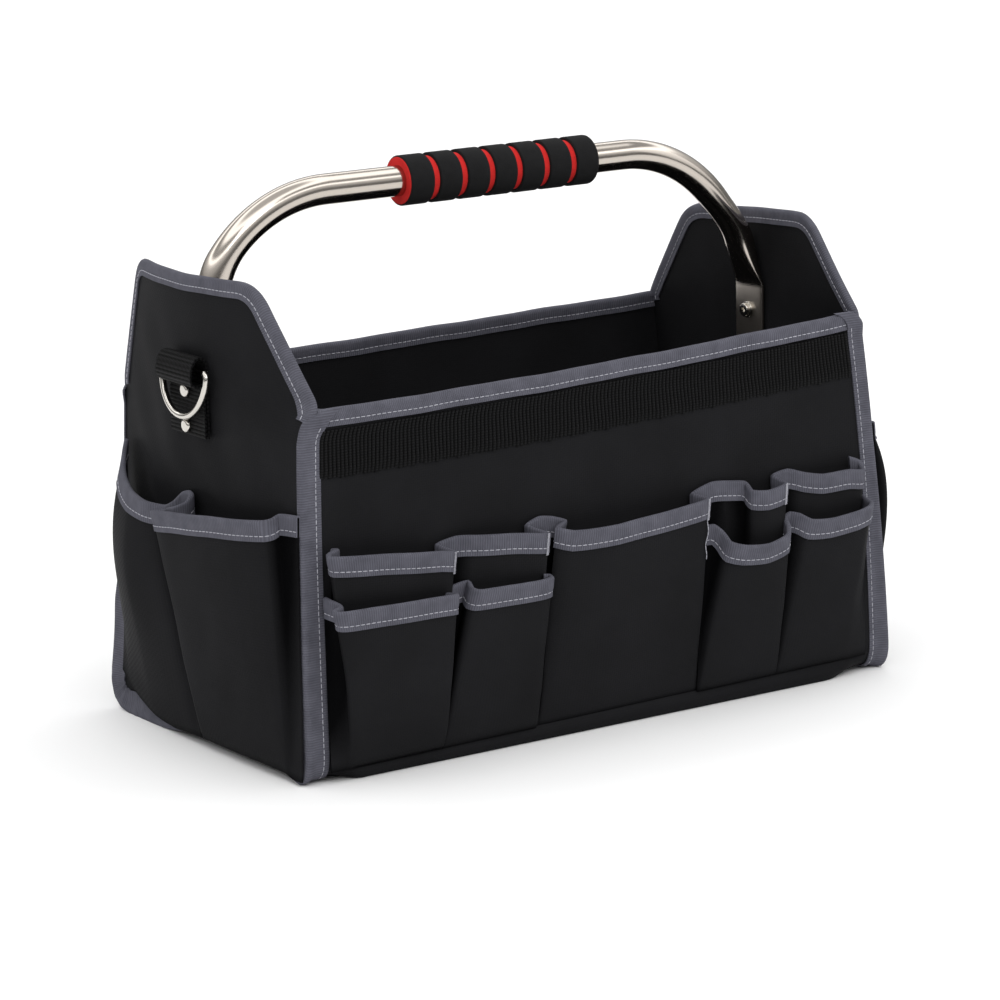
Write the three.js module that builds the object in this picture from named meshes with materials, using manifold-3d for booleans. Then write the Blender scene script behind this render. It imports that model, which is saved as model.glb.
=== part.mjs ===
// An open-topped tool bag: a pleated cloth tote with grey edge tape, a bent steel tube handle
// with a foam grip, and a D-ring on each end. Millimetres, +Z up, the long side along X,
// the front facing -Y, the origin at the middle of the base on the surface it stands on.
import * as THREE from 'three';
import { mergeVertices } from 'three/addons/utils/BufferGeometryUtils.js';
import loadManifold from 'manifold-3d';

// Cloth body
const END_MIDDLE = 211.4; // outer face of an end panel on its middle line, from the bag's centre
const END_HEIGHT = 290;
const RIM_BOW = 15; // how far an end's corners stand back from its middle at that height
const BASE_HALF_DEPTH = 115;
const WALL_LEAN = 0.019; // how much the front and back walls lean in for each millimetre of height
const CLOTH = 3; // padded wall
const BASE_THICK = 3.5;
const POCKET_CLOTH = 1.2; // single layer of the pockets
const MITRE_LIMIT = 0.75; // keeps the corners of a sharp fold from standing out
const GAP = 0.3; // clearance between sewn pieces
const POCKET_GAP = 0.5; // clearance between a pleated strip and its tape
const TAPE = 1; // thickness of the edge tape
const TAPE_WIDTH = 11; // height of the tape on each face of an edge
const SEAM_TAPE_FRONT = 13; // corner tape on the front or back wall
const SEAM_TAPE_END = 10; // corner tape on the end panel
const RIM_ROUND = 14; // how far the rounding reaches from an end panel's top corners
const END_LEVELS = 8; // steps up an end panel and its corner tape
const FOOT_TAPE_INSET = 1; // from the corners to the ends of the tape along an end's foot

// Rim heights at the middle of the front and back walls, and their rise for each millimetre of X
const FRONT_RIM = 229;
const FRONT_RISE = 0.0175;
const BACK_RIM = 212.5;
const BACK_RISE = 0.016;

// The two end panels: their top corners, how far their bottom corners stand back from their
// middle (the right ones flare out), and the power of the height by which that changes
const LEFT = {
  name: 'left', sign: -1, frontY: -71, frontZ: 289, backY: 76, backZ: 286, footBow: 4, bowPower: 4,
};
const RIGHT = {
  name: 'right', sign: 1, frontY: -68, frontZ: 291, backY: 71, backZ: 284.5, footBow: -11, bowPower: 2,
};
const ENDS = [LEFT, RIGHT];

// Ribbed band under the front rim
const WEBBING_HEIGHT = 30;
const WEBBING_THICK = 1.6;

// Pocket strips: foot height at the bag's centre and its rise for each millimetre of X
const FOOT_HEIGHT = 8.5;
const FOOT_RISE = 0.018;
const END_FOOT_HEIGHT = 4.5;
const BILLOW = 0.8; // power of the height by which a strip stands out
const PLEAT_CLOSE = 1.5; // power of the height by which a pleat closes towards its foot
const STRIP_LEVELS = [0, 0.35, 0.7, 1]; // shares of the height below the tape

// Each row is a fold or a turn of a strip, from left to right along the front, or from back to
// front along an end: where it is along the wall, how far it stands out and how high it reaches
// at the rim, and where it is along the wall at the foot
const UPPER_STRIP = {
  footOut: 1.1,
  rows: [
    { along: -188.5, out: 3.2, top: 140, foot: -194 },
    { along: -187.5, out: 7, top: 140.4, foot: -188 },
    { along: -196, out: 11.5, top: 139.5, foot: -184 },
    { along: -196.5, out: 15, top: 138.5, foot: -182 },
    { along: -186, out: 17.5, top: 137.7, foot: -175 },
    { along: -153, out: 20, top: 135.3, foot: -150 },
    { along: -124, out: 18.5, top: 131.7, foot: -125 },
    { along: -112, out: 15.5, top: 129.5, foot: -118.5 },
    { along: -116, out: 3.2, top: 132.4, foot: -117 },
    { along: -104, out: 5, top: 135.4, foot: -110 },
    { along: -90, out: 10, top: 135.1, foot: -95 },
    { along: -72, out: 15, top: 134.6, foot: -75 },
    { along: -45, out: 15.5, top: 130.8, foot: -51 },
    { along: -52.5, out: 4, top: 134.9, foot: -49.8 },
    { along: -43, out: 3.2, top: 138, foot: -49 },
    { along: -33, out: 3.2, top: 136.6, foot: -48 },
    { along: -25, out: 4.5, top: 134, foot: -47 },
    { along: -36, out: 12, top: 132.7, foot: -46 },
    { along: -27, out: 17, top: 129.8, foot: -40 },
    { along: 3, out: 21, top: 129.7, foot: 0 },
    { along: 38.5, out: 19, top: 131.7, foot: 38 },
    { along: 74.5, out: 15.5, top: 135, foot: 69.5 },
    { along: 70.5, out: 4, top: 136.5, foot: 71 },
    { along: 86, out: 3.2, top: 140.7, foot: 78 },
    { along: 101, out: 3.2, top: 139.6, foot: 95 },
    { along: 111.5, out: 4, top: 138, foot: 108 },
    { along: 111.5, out: 11, top: 133.8, foot: 112 },
    { along: 121, out: 15, top: 133, foot: 120 },
    { along: 136, out: 13.5, top: 136, foot: 132.5 },
    { along: 133.5, out: 3.5, top: 139.5, foot: 134 },
    { along: 145, out: 3.5, top: 141.3, foot: 142 },
    { along: 155, out: 8, top: 138.3, foot: 152 },
    { along: 166, out: 12, top: 136.5, foot: 165 },
    { along: 186, out: 13, top: 136.7, foot: 184 },
    { along: 199, out: 11, top: 135.3, foot: 195 },
    { along: 200.5, out: 6, top: 140, foot: 198 },
    { along: 194, out: 3.2, top: 142.9, foot: 200 },
  ],
};
const LOWER_LEFT_STRIP = {
  footOut: 2.9,
  rows: [
    { along: -197, out: 3.6, top: 112.5, foot: -195 },
    { along: -199.5, out: 12, top: 111.5, foot: -189 },
    { along: -200, out: 20.5, top: 109, foot: -183 },
    { along: -185, out: 27, top: 108.4, foot: -172 },
    { along: -158, out: 29, top: 108.3, foot: -150 },
    { along: -130, out: 28, top: 107.2, foot: -128 },
    { along: -118, out: 25.5, top: 106.5, foot: -119 },
    { along: -119.5, out: 20, top: 107, foot: -118 },
    { along: -107.5, out: 16, top: 108.5, foot: -112 },
    { along: -99, out: 13, top: 109, foot: -108 },
    { along: -100.5, out: 18, top: 106.5, foot: -104 },
    { along: -91, out: 21.5, top: 105.7, foot: -96 },
    { along: -71.5, out: 23.5, top: 105.3, foot: -74 },
    { along: -53, out: 22.5, top: 105.2, foot: -55 },
    { along: -47, out: 19.5, top: 105.5, foot: -51 },
    { along: -49.5, out: 16.2, top: 106, foot: -50 },
  ],
};
const LOWER_RIGHT_STRIP = {
  footOut: 2.9,
  rows: [
    { along: 78, out: 6, top: 115, foot: 73 },
    { along: 86, out: 7.5, top: 114.7, foot: 78 },
    { along: 88.5, out: 17, top: 105.5, foot: 84 },
    { along: 97, out: 22, top: 103, foot: 95 },
    { along: 115, out: 23.5, top: 101.6, foot: 113 },
    { along: 130.5, out: 21, top: 105.5, foot: 129 },
    { along: 134.5, out: 16.5, top: 110, foot: 133 },
    { along: 141, out: 9.5, top: 114.9, foot: 137 },
    { along: 146, out: 14.5, top: 114, foot: 142 },
    { along: 151, out: 20, top: 110.8, foot: 148 },
    { along: 165, out: 22.5, top: 110.2, foot: 164 },
    { along: 187, out: 22.5, top: 112, foot: 184 },
    { along: 198.5, out: 19.5, top: 114.5, foot: 197 },
    { along: 204, out: 11, top: 116, foot: 202 },
    { along: 203, out: 3.6, top: 117, foot: 204 },
  ],
};
const END_STRIP = {
  footOut: 2.4,
  rows: [
    { along: 100, out: 3.2, top: 172, foot: 98 },
    { along: 93, out: 9, top: 167, foot: 92 },
    { along: 86, out: 13, top: 161, foot: 86 },
    { along: 76, out: 15, top: 154.5, foot: 76 },
    { along: 58, out: 16.5, top: 149.5, foot: 58 },
    { along: 40, out: 16.5, top: 147.3, foot: 36 },
    { along: 31, out: 13, top: 148, foot: 22 },
    { along: 20, out: 6, top: 150, foot: 10 },
    { along: 10, out: 3.2, top: 154, foot: 4 },
    { along: 1, out: 3.4, top: 156, foot: 0 },
    { along: -3, out: 7.5, top: 153, foot: -2 },
    { along: 2, out: 11, top: 150, foot: -4 },
    { along: 20, out: 14, top: 147, foot: -6 },
    { along: 28, out: 17, top: 145.5, foot: -8 },
    { along: 27, out: 21, top: 145.5, foot: -10 },
    { along: 0, out: 22, top: 148.5, foot: -30 },
    { along: -30, out: 22, top: 151.5, foot: -50 },
    { along: -70, out: 20, top: 156, foot: -75 },
    { along: -96, out: 16, top: 160, foot: -92 },
    { along: -100, out: 9, top: 161, foot: -97 },
    { along: -100, out: 3.2, top: 161, foot: -100 },
  ],
};

// Handle: a tube bent in one plane, its legs flattened against the end panels
const HANDLE_Y = 2;
const TUBE_RADIUS = 9.5;
const HANDLE_HEIGHT = 331; // middle of the tube above the base
const BEND_START = 110; // where the straight stretch ends
const BEND_RADIUS = 92;
const CRIMP_TOP = 268; // where the flattening starts
const CRIMP_FOOT = 240; // where the leg is flat
const LEG_FOOT = 186;
const LEG_HALF_WIDTH = 14;
const LEG_HALF_THICK = 2;
const LEG_SQUARENESS = 0.55; // power that squares off the flattened section
const LEG_TIP = 0.35; // least share of the width at the rounded foot
const LEG_TIP_STEPS = [1, 0.43, 0.11, 0]; // shares of the rounding, from its start to the foot
const BEND_STEPS = 12;
const TUBE_SIDES = 12;

// Foam grip on the straight stretch
const GRIP_SHIFT = 10; // the grip sits a little to the right of the middle
const GRIP_LENGTH = 135;
const GRIP_CORE_RADIUS = 13.5;
const GRIP_RADIUS = 15.5;
const GRIP_RINGS = 7;
const GROOVE = 4.5;
const END_RING = 16.5;
const GRIP_ROUND = 1.2;
const CORE_ROUND = 0.5;
const GRIP_SEGMENTS = 12;

// Bolts through each leg, end panel and ring strap
const BOLTS = [
  { name: 'upper', z: 220.5 },
  { name: 'lower', z: 199 },
];
const BOLT_RADIUS = 2.5;
const HEAD_RADIUS = 4.4;
const HEAD_HEIGHT = 2.8;
const WASHER_RADIUS = 5.4;
const WASHER_THICK = 1;
const SOCKET_RADIUS = 1.9;
const SOCKET_DEPTH = 2;
const HEAD_BEVEL = 1.4;
const HOLE_LENGTH = 40; // of the tool that cuts a bolt hole
const BOLT_SEGMENTS = 10;

// D-ring and the folded strap that holds it
const STRAP_HALF_WIDTH = 20.5;
const STRAP_THICK = 1.6;
const STRAP_LAYER_GAP = 0.4; // between the strap's two layers
const LOOP_NECK = 7.8; // from the bar down to where the layers meet again
const STRAP_FOOT = 193.5;
const RING_BAR_Z = 234;
const RING_BAR_OUT = 4.4; // middle of the ring's bar from the end panel
const RING_WIRE = 2.1; // radius
const RING_HALF_WIDTH = 26;
const RING_CORNER = 4;
const RING_DROP = 25; // depth of the bow below the corners
const RING_SIDES = 8;
const RING_TILT = THREE.MathUtils.degToRad(7);

// Slack loop of the strap round the bar: heights from the bar's middle, and how far it stands out
const STRAP_LOOP = [
  { rise: 2, out: 1.1 },
  { rise: 5.5, out: 1.7 },
  { rise: 7.3, out: 4.3 },
  { rise: 6.2, out: 7 },
  { rise: 2.5, out: 8.6 },
  { rise: -2.5, out: 8.5 },
  { rise: -5.2, out: 7 },
  { rise: -6.6, out: 4.6 },
];

// Finishes
const finish = (color, roughness, metalness = 0) =>
  new THREE.MeshStandardMaterial({ color, roughness, metalness });
const OXFORD_CLOTH = finish(0x222224, 0.6);
const EDGE_TAPE = finish(0x5f5f6a, 0.85);
const RIBBED_WEBBING = finish(0x161617, 0.7);
const POLISHED_STEEL = finish(0xc9c5bd, 0.15, 1);
const NICKEL = finish(0xcfcfcf, 0.25, 1);
const BLACK_FOAM = finish(0x1c1c1e, 0.95);
const RED_FOAM = finish(0xd0302c, 0.9);

const wasm = await loadManifold();
wasm.setup();

// Surfaces of the cloth body
const halfDepth = (z) => BASE_HALF_DEPTH - WALL_LEAN * z;
const endBow = ({ footBow, bowPower }, z) =>
  footBow + (RIM_BOW - footBow) * (z / END_HEIGHT) ** bowPower;
const endFace = (end, y, z) => END_MIDDLE - endBow(end, z) * (y / halfDepth(z)) ** 2;
const cornerX = (end, z) => END_MIDDLE - endBow(end, z);
const acrossFront = (share, z, inset) =>
  THREE.MathUtils.lerp(inset - cornerX(LEFT, z), cornerX(RIGHT, z) - inset, share);
const frontRim = (x) => FRONT_RIM + FRONT_RISE * x;
const backRim = (x) => BACK_RIM + BACK_RISE * x;
const onFront = (x, out, z) => new THREE.Vector3(x, -halfDepth(z) - out, z);
const onBack = (x, out, z) => new THREE.Vector3(x, halfDepth(z) + out, z);
const onEnd = (end) => (y, out, z) =>
  new THREE.Vector3(end.sign * (endFace(end, y, z) + out), y, z);

// A closed solid from its points and triangles, turned so that its faces point out
function solid(points, triangles) {
  let volume = 0;
  for (const [a, b, c] of triangles) {
    volume += points[a].dot(points[b].clone().cross(points[c]));
  }
  const geometry = new THREE.BufferGeometry().setFromPoints(points);
  geometry.setIndex(triangles.flatMap(([a, b, c]) => (volume > 0 ? [a, b, c] : [a, c, b])));
  return geometry;
}

// A wall between two grids of points of the same size, closed around its edges
function thickSheet(outer, inner) {
  const rows = outer.length;
  const columns = outer[0].length;
  const points = [...outer.flat(), ...inner.flat()];
  const front = (i, j) => i * columns + j;
  const back = (i, j) => rows * columns + front(i, j);
  const triangles = [];
  const quad = (a, b, c, d) => triangles.push([a, b, c], [a, c, d]);
  for (let i = 0; i + 1 < rows; i++) {
    for (let j = 0; j + 1 < columns; j++) {
      quad(front(i, j), front(i + 1, j), front(i + 1, j + 1), front(i, j + 1));
      quad(back(i, j), back(i, j + 1), back(i + 1, j + 1), back(i + 1, j));
    }
    const last = columns - 1;
    quad(front(i, 0), back(i, 0), back(i + 1, 0), front(i + 1, 0));
    quad(front(i, last), front(i + 1, last), back(i + 1, last), back(i, last));
  }
  for (let j = 0; j + 1 < columns; j++) {
    const last = rows - 1;
    quad(front(0, j), front(0, j + 1), back(0, j + 1), back(0, j));
    quad(front(last, j), back(last, j), back(last, j + 1), front(last, j + 1));
  }
  return solid(points, triangles);
}

// A bar through a row of rings of points: its ends are capped, or it closes on itself
function loft(rings, closed = false) {
  const sides = rings[0].length;
  const points = rings.flat();
  const triangles = [];
  const spans = closed ? rings.length : rings.length - 1;
  for (let i = 0; i < spans; i++) {
    const next = (i + 1) % rings.length;
    for (let j = 0; j < sides; j++) {
      const k = (j + 1) % sides;
      triangles.push([i * sides + j, i * sides + k, next * sides + k]);
      triangles.push([i * sides + j, next * sides + k, next * sides + j]);
    }
  }
  if (!closed) {
    const last = (rings.length - 1) * sides;
    for (let j = 1; j + 1 < sides; j++) {
      triangles.push([0, j + 1, j], [last, last + j, last + j + 1]);
    }
  }
  return solid(points, triangles);
}

// Sideways directions along a path in the plane, with the length that keeps a wall's thickness
function mitres(path) {
  const unit = (a, b) => new THREE.Vector2().subVectors(b, a).normalize();
  return path.map((point, i) => {
    const into = unit(path[Math.max(i - 1, 0)], path[Math.max(i, 1)]);
    const away = unit(path[Math.min(i, path.length - 2)], path[Math.min(i + 1, path.length - 1)]);
    const side = new THREE.Vector2(-into.y - away.y, into.x + away.x).normalize();
    return side.multiplyScalar(1 / Math.max(side.dot(new THREE.Vector2(-into.y, into.x)), MITRE_LIMIT));
  });
}

// Booleans between closed geometries
function toManifold(geometry) {
  const bare = geometry.clone();
  bare.deleteAttribute('normal');
  bare.deleteAttribute('uv');
  const merged = mergeVertices(bare, 1e-4);
  return new wasm.Manifold(new wasm.Mesh({
    numProp: 3,
    vertProperties: new Float32Array(merged.attributes.position.array),
    triVerts: new Uint32Array(merged.index.array),
  }));
}

function fromManifold(manifold) {
  const { numProp, vertProperties, triVerts } = manifold.getMesh();
  const geometry = new THREE.BufferGeometry();
  const positions = new Float32Array((vertProperties.length / numProp) * 3);
  for (let i = 0; i < positions.length / 3; i++) {
    for (let k = 0; k < 3; k++) positions[i * 3 + k] = vertProperties[i * numProp + k];
  }
  geometry.setAttribute('position', new THREE.BufferAttribute(positions, 3));
  geometry.setIndex([...triVerts]);
  return geometry;
}

const cut = (geometry, tools) => fromManifold(
  tools.reduce((body, tool) => body.subtract(toManifold(tool)), toManifold(geometry)),
);
const join = (geometries) => fromManifold(
  geometries.map(toManifold).reduce((body, piece) => body.add(piece)),
);

// The bag, and one named mesh for each piece in it
const bag = new THREE.Group();

function add(name, geometry, material) {
  const mesh = new THREE.Mesh(geometry, material);
  mesh.name = name;
  bag.add(mesh);
  return mesh;
}

const range = (count) => Array.from({ length: count + 1 }, (_, i) => i / count);

// Long walls: they butt between the end panels and stand on the base panel
const WALL_END_GAP = CLOTH + TAPE + 2 * GAP; // clear of the end panels' inner tape
const WALL_FOOT = BASE_THICK + GAP;
const WALL_STATIONS = range(8);

function longWall(place, rim) {
  const grid = (out) => WALL_STATIONS.map((u) => range(5).map((share) => {
    const top = rim(acrossFront(u, FRONT_RIM, 0));
    const z = THREE.MathUtils.lerp(WALL_FOOT, top, share);
    return place(acrossFront(u, z, WALL_END_GAP), out, z);
  }));
  return thickSheet(grid(0), grid(-CLOTH));
}

// Tape folded over a rim: its two legs lie on the wall's faces
function rimTape(place, rim) {
  const section = (u, half) => {
    const z = rim(acrossFront(u, FRONT_RIM, 0));
    const x = acrossFront(u, z, SEAM_TAPE_FRONT + GAP);
    const reach = half + GAP;
    return [
      place(x, reach, z - TAPE_WIDTH),
      place(x, reach, z + reach),
      place(x, -CLOTH - reach, z + reach),
      place(x, -CLOTH - reach, z - TAPE_WIDTH),
    ];
  };
  return thickSheet(
    WALL_STATIONS.map((u) => section(u, TAPE)),
    WALL_STATIONS.map((u) => section(u, 0)),
  );
}

add('front_panel', longWall(onFront, frontRim), OXFORD_CLOTH);
add('back_panel', longWall(onBack, backRim), OXFORD_CLOTH);
add('front_top_binding', rimTape(onFront, frontRim), EDGE_TAPE);
add('back_top_binding', rimTape(onBack, backRim), EDGE_TAPE);

// Base: a flat stiffened sheet between the end panels, its ends cut to their curve
function basePanel() {
  const grid = (z) => range(12).map((share) => {
    const y = (2 * share - 1) * BASE_HALF_DEPTH;
    return ENDS.map((end) => {
      const reach = endFace(end, y, 0) - CLOTH - GAP;
      return new THREE.Vector3(end.sign * reach, y, z);
    });
  });
  return thickSheet(grid(BASE_THICK), grid(0));
}
add('base_panel', basePanel(), OXFORD_CLOTH);

// Ribbed band sewn across the front under the rim tape
function webbingBand() {
  const grid = (out) => WALL_STATIONS.map((u) => [1, 0].map((below) => {
    const top = frontRim(acrossFront(u, FRONT_RIM, 0)) - TAPE_WIDTH - GAP;
    const z = top - below * WEBBING_HEIGHT;
    return onFront(acrossFront(u, z, SEAM_TAPE_FRONT + GAP), out, z);
  }));
  return thickSheet(grid(GAP + WEBBING_THICK), grid(GAP));
}
add('front_webbing', webbingBand(), RIBBED_WEBBING);

// Outline of an end panel above the long walls, as points in Y and Z with rounded top corners
function endOutline(end) {
  const frontTop = frontRim(end.sign * cornerX(end, FRONT_RIM));
  const backTop = backRim(end.sign * cornerX(end, BACK_RIM));
  const corners = [
    new THREE.Vector2(-halfDepth(frontTop), frontTop),
    new THREE.Vector2(end.frontY, end.frontZ),
    new THREE.Vector2(end.backY, end.backZ),
    new THREE.Vector2(halfDepth(backTop), backTop),
  ];
  const towards = (from, to, reach) =>
    from.clone().add(to.clone().sub(from).setLength(reach));
  const outline = [0, 0.3, 0.6].map((share) => corners[0].clone().lerp(corners[1], share));
  for (const i of [1, 2]) {
    const curve = new THREE.QuadraticBezierCurve(
      towards(corners[i], corners[i - 1], RIM_ROUND),
      corners[i],
      towards(corners[i], corners[i + 1], RIM_ROUND),
    );
    outline.push(...curve.getPoints(4));
    if (i === 1) {
      for (const share of [0.25, 0.5, 0.75]) {
        outline.push(corners[1].clone().lerp(corners[2], share));
      }
    }
  }
  outline.push(...[0.4, 0.7, 1].map((share) => corners[2].clone().lerp(corners[3], share)));
  return outline;
}

function endPanel(end, outline) {
  const place = onEnd(end);
  const grid = (out) => outline.map(({ x: y, y: top }) => range(END_LEVELS).map((share) => {
    const z = top * share;
    return place((y / halfDepth(top)) * halfDepth(z), out, z);
  }));
  return thickSheet(grid(0), grid(-CLOTH));
}

function endRimTape(end, outline) {
  const place = onEnd(end);
  const sides = mitres(outline);
  const section = (i, half) => {
    const reach = half + GAP;
    const edge = outline[i].clone().addScaledVector(sides[i], reach);
    const leg = outline[i].clone().addScaledVector(sides[i], -TAPE_WIDTH);
    return [
      place(leg.x, reach, leg.y),
      place(edge.x, reach, edge.y),
      place(edge.x, -CLOTH - reach, edge.y),
      place(leg.x, -CLOTH - reach, leg.y),
    ];
  };
  return thickSheet(
    outline.map((_, i) => section(i, TAPE)),
    outline.map((_, i) => section(i, 0)),
  );
}

// Corner tape: folded round the two upright corners of an end panel, and along its foot
function seamTape(end) {
  const place = onEnd(end);
  const upright = (face, rim) => {
    const top = rim - TAPE;
    const section = (z, reach) => {
      const wall = face * (halfDepth(z) + reach);
      const x = end.sign * (cornerX(end, z) + reach);
      const low = z * (1 - SEAM_TAPE_END / top); // its end leg is cut off on the slant of the rim
      return [
        new THREE.Vector3(end.sign * (cornerX(end, z) - SEAM_TAPE_FRONT), wall, z),
        new THREE.Vector3(x, wall, z),
        place(face * (halfDepth(low) - SEAM_TAPE_END), reach, low),
      ];
    };
    const heights = range(END_LEVELS).map((share) => share * top);
    return thickSheet(
      heights.map((z) => section(z, GAP + TAPE)),
      heights.map((z) => section(z, GAP)),
    );
  };
  const footStrip = (out) => range(8).map((u) => [0, SEAM_TAPE_END].map((z) =>
    place((2 * u - 1) * (BASE_HALF_DEPTH - FOOT_TAPE_INSET), out, z)));
  return join([
    upright(-1, frontRim(end.sign * cornerX(end, FRONT_RIM))),
    thickSheet(footStrip(GAP + TAPE), footStrip(GAP)),
    upright(1, backRim(end.sign * cornerX(end, BACK_RIM))),
  ]);
}

// A pleated strip of cloth that makes a row of pockets, and the tape on its top edge
function stripPoint(row, strip, footZ, z) {
  const share = Math.max(0, (z - footZ) / (row.top - footZ));
  return {
    along: THREE.MathUtils.lerp(row.foot, row.along, share ** PLEAT_CLOSE),
    out: THREE.MathUtils.lerp(strip.footOut, row.out, share ** BILLOW),
    z,
  };
}

function stripLayer(strip, place, footOf, heightOf, offset) {
  const path = strip.rows.map((row) => {
    const footZ = footOf(row.foot);
    return stripPoint(row, strip, footZ, heightOf(row, footZ));
  });
  const sides = mitres(path.map(({ along, out }) => new THREE.Vector2(along, out)));
  return path.map(({ along, out, z }, i) =>
    place(along + offset * sides[i].x, out + offset * sides[i].y, z));
}

const transpose = (layers) => layers[0].map((_, i) => layers.map((layer) => layer[i]));

function pocketStrip(strip, place, footOf) {
  const heights = STRIP_LEVELS.map((level) => (row, footZ) =>
    THREE.MathUtils.lerp(footZ, row.top - TAPE_WIDTH, level));
  heights.push((row) => row.top - TAPE - GAP);
  const face = (offset) => transpose(heights.map((heightOf) =>
    stripLayer(strip, place, footOf, heightOf, offset)));
  return thickSheet(face(POCKET_CLOTH / 2), face(-POCKET_CLOTH / 2));
}

function stripTape(strip, place, footOf) {
  const legFoot = (row) => row.top - TAPE_WIDTH;
  const face = (thick) => {
    const reach = POCKET_CLOTH / 2 + POCKET_GAP + thick;
    const crest = (row) => row.top - TAPE + thick;
    return transpose([
      stripLayer(strip, place, footOf, legFoot, reach),
      stripLayer(strip, place, footOf, crest, reach),
      stripLayer(strip, place, footOf, crest, -reach),
      stripLayer(strip, place, footOf, legFoot, -reach),
    ]);
  };
  return thickSheet(face(TAPE), face(0));
}

const frontFoot = (x) => FOOT_HEIGHT + FOOT_RISE * x;
const endFoot = () => END_FOOT_HEIGHT;
const FRONT_STRIPS = [
  { name: 'front_pocket_strip', tape: 'front_strip_binding', strip: UPPER_STRIP },
  { name: 'front_pocket_lower_left', tape: 'lower_left_binding', strip: LOWER_LEFT_STRIP },
  { name: 'front_pocket_lower_right', tape: 'lower_right_binding', strip: LOWER_RIGHT_STRIP },
];
for (const { name, tape, strip } of FRONT_STRIPS) {
  add(name, pocketStrip(strip, onFront, frontFoot), OXFORD_CLOTH);
  add(tape, stripTape(strip, onFront, frontFoot), EDGE_TAPE);
}

// Handle tube: half of its middle line from the top down, with the share of flattening
function handleStations() {
  const flatness = (z) => THREE.MathUtils.smoothstep(CRIMP_TOP - z, 0, CRIMP_TOP - CRIMP_FOOT);
  const stations = [{ x: 0, z: HANDLE_HEIGHT, turn: 0, flat: 0, narrow: 1 }];
  for (const share of range(BEND_STEPS)) {
    const turn = share * (Math.PI / 2);
    const x = BEND_START + BEND_RADIUS * Math.sin(turn);
    const z = HANDLE_HEIGHT - BEND_RADIUS * (1 - Math.cos(turn));
    stations.push({ x, z, turn, flat: flatness(z), narrow: 1 });
  }
  const legX = BEND_START + BEND_RADIUS;
  for (const share of LEG_TIP_STEPS) {
    const z = LEG_FOOT + share * LEG_HALF_WIDTH;
    const narrow = Math.max(LEG_TIP, Math.sqrt(1 - (1 - share) ** 2));
    stations.push({ x: legX, z, turn: Math.PI / 2, flat: 1, narrow });
  }
  return stations;
}

function tubeSection({ x, z, turn, flat, narrow }, sign) {
  const lerp = THREE.MathUtils.lerp;
  const halfWidth = lerp(TUBE_RADIUS, LEG_HALF_WIDTH, flat) * narrow;
  const halfThick = lerp(TUBE_RADIUS, LEG_HALF_THICK, flat);
  const squareness = lerp(1, LEG_SQUARENESS, flat);
  const shift = flat ** 2 * (END_MIDDLE - CLOTH - GAP - LEG_HALF_THICK - BEND_START - BEND_RADIUS);
  const bulge = (value) => Math.sign(value) * Math.abs(value) ** squareness;
  return range(TUBE_SIDES).slice(0, TUBE_SIDES).map((share) => {
    const angle = share * 2 * Math.PI;
    const across = halfWidth * bulge(Math.cos(angle));
    const outward = shift + halfThick * bulge(Math.sin(angle));
    return new THREE.Vector3(
      sign * (x + outward * Math.sin(turn)),
      HANDLE_Y + across,
      z + outward * Math.cos(turn),
    );
  });
}

function handleTube() {
  const stations = handleStations();
  const right = stations.map((station) => tubeSection(station, 1));
  const left = stations.slice(1).reverse().map((station) => tubeSection(station, -1));
  return loft([...left, ...right]);
}

// A solid turned about an axis along X, its profile given as distance along X and radius
function turned(profile, segments) {
  const lathe = new THREE.LatheGeometry(
    profile.map(([along, radius]) => new THREE.Vector2(radius, along)),
    segments,
  );
  lathe.rotateZ(-Math.PI / 2);
  return lathe;
}

function boltHoles(sign) {
  return BOLTS.map(({ z }) => {
    const radius = BOLT_RADIUS + GAP;
    const hole = new THREE.CylinderGeometry(radius, radius, HOLE_LENGTH, BOLT_SEGMENTS);
    hole.rotateZ(Math.PI / 2);
    hole.translate(sign * END_MIDDLE, HANDLE_Y, z);
    return hole;
  });
}

const STRAP_OUTER = 2 * STRAP_THICK + GAP + STRAP_LAYER_GAP; // outer face of the doubled strap

function bolt(sign, z) {
  const legInner = END_MIDDLE - CLOTH - GAP - 2 * LEG_HALF_THICK - GAP;
  const headInner = legInner - WASHER_THICK;
  const strapFace = END_MIDDLE + STRAP_OUTER + GAP;
  const profile = [
    [headInner - HEAD_HEIGHT, 0],
    [headInner - HEAD_HEIGHT, HEAD_RADIUS - HEAD_BEVEL],
    [headInner - HEAD_HEIGHT / 2, HEAD_RADIUS - HEAD_BEVEL / 5],
    [headInner, HEAD_RADIUS],
    [headInner, WASHER_RADIUS],
    [legInner, WASHER_RADIUS],
    [legInner, BOLT_RADIUS],
    [strapFace, BOLT_RADIUS],
    [strapFace, HEAD_RADIUS],
    [strapFace + HEAD_HEIGHT / 2, HEAD_RADIUS - HEAD_BEVEL / 2],
    [strapFace + HEAD_HEIGHT * 0.9, HEAD_RADIUS / 2],
    [strapFace + HEAD_HEIGHT, 0],
  ];
  const socket = new THREE.CylinderGeometry(SOCKET_RADIUS, SOCKET_RADIUS, 2 * SOCKET_DEPTH, 6);
  socket.rotateZ(Math.PI / 2);
  socket.translate(headInner - HEAD_HEIGHT, 0, 0);
  const geometry = cut(turned(profile, BOLT_SEGMENTS), [socket]);
  if (sign < 0) geometry.rotateZ(Math.PI);
  geometry.translate(0, HANDLE_Y, z);
  return geometry;
}

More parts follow.
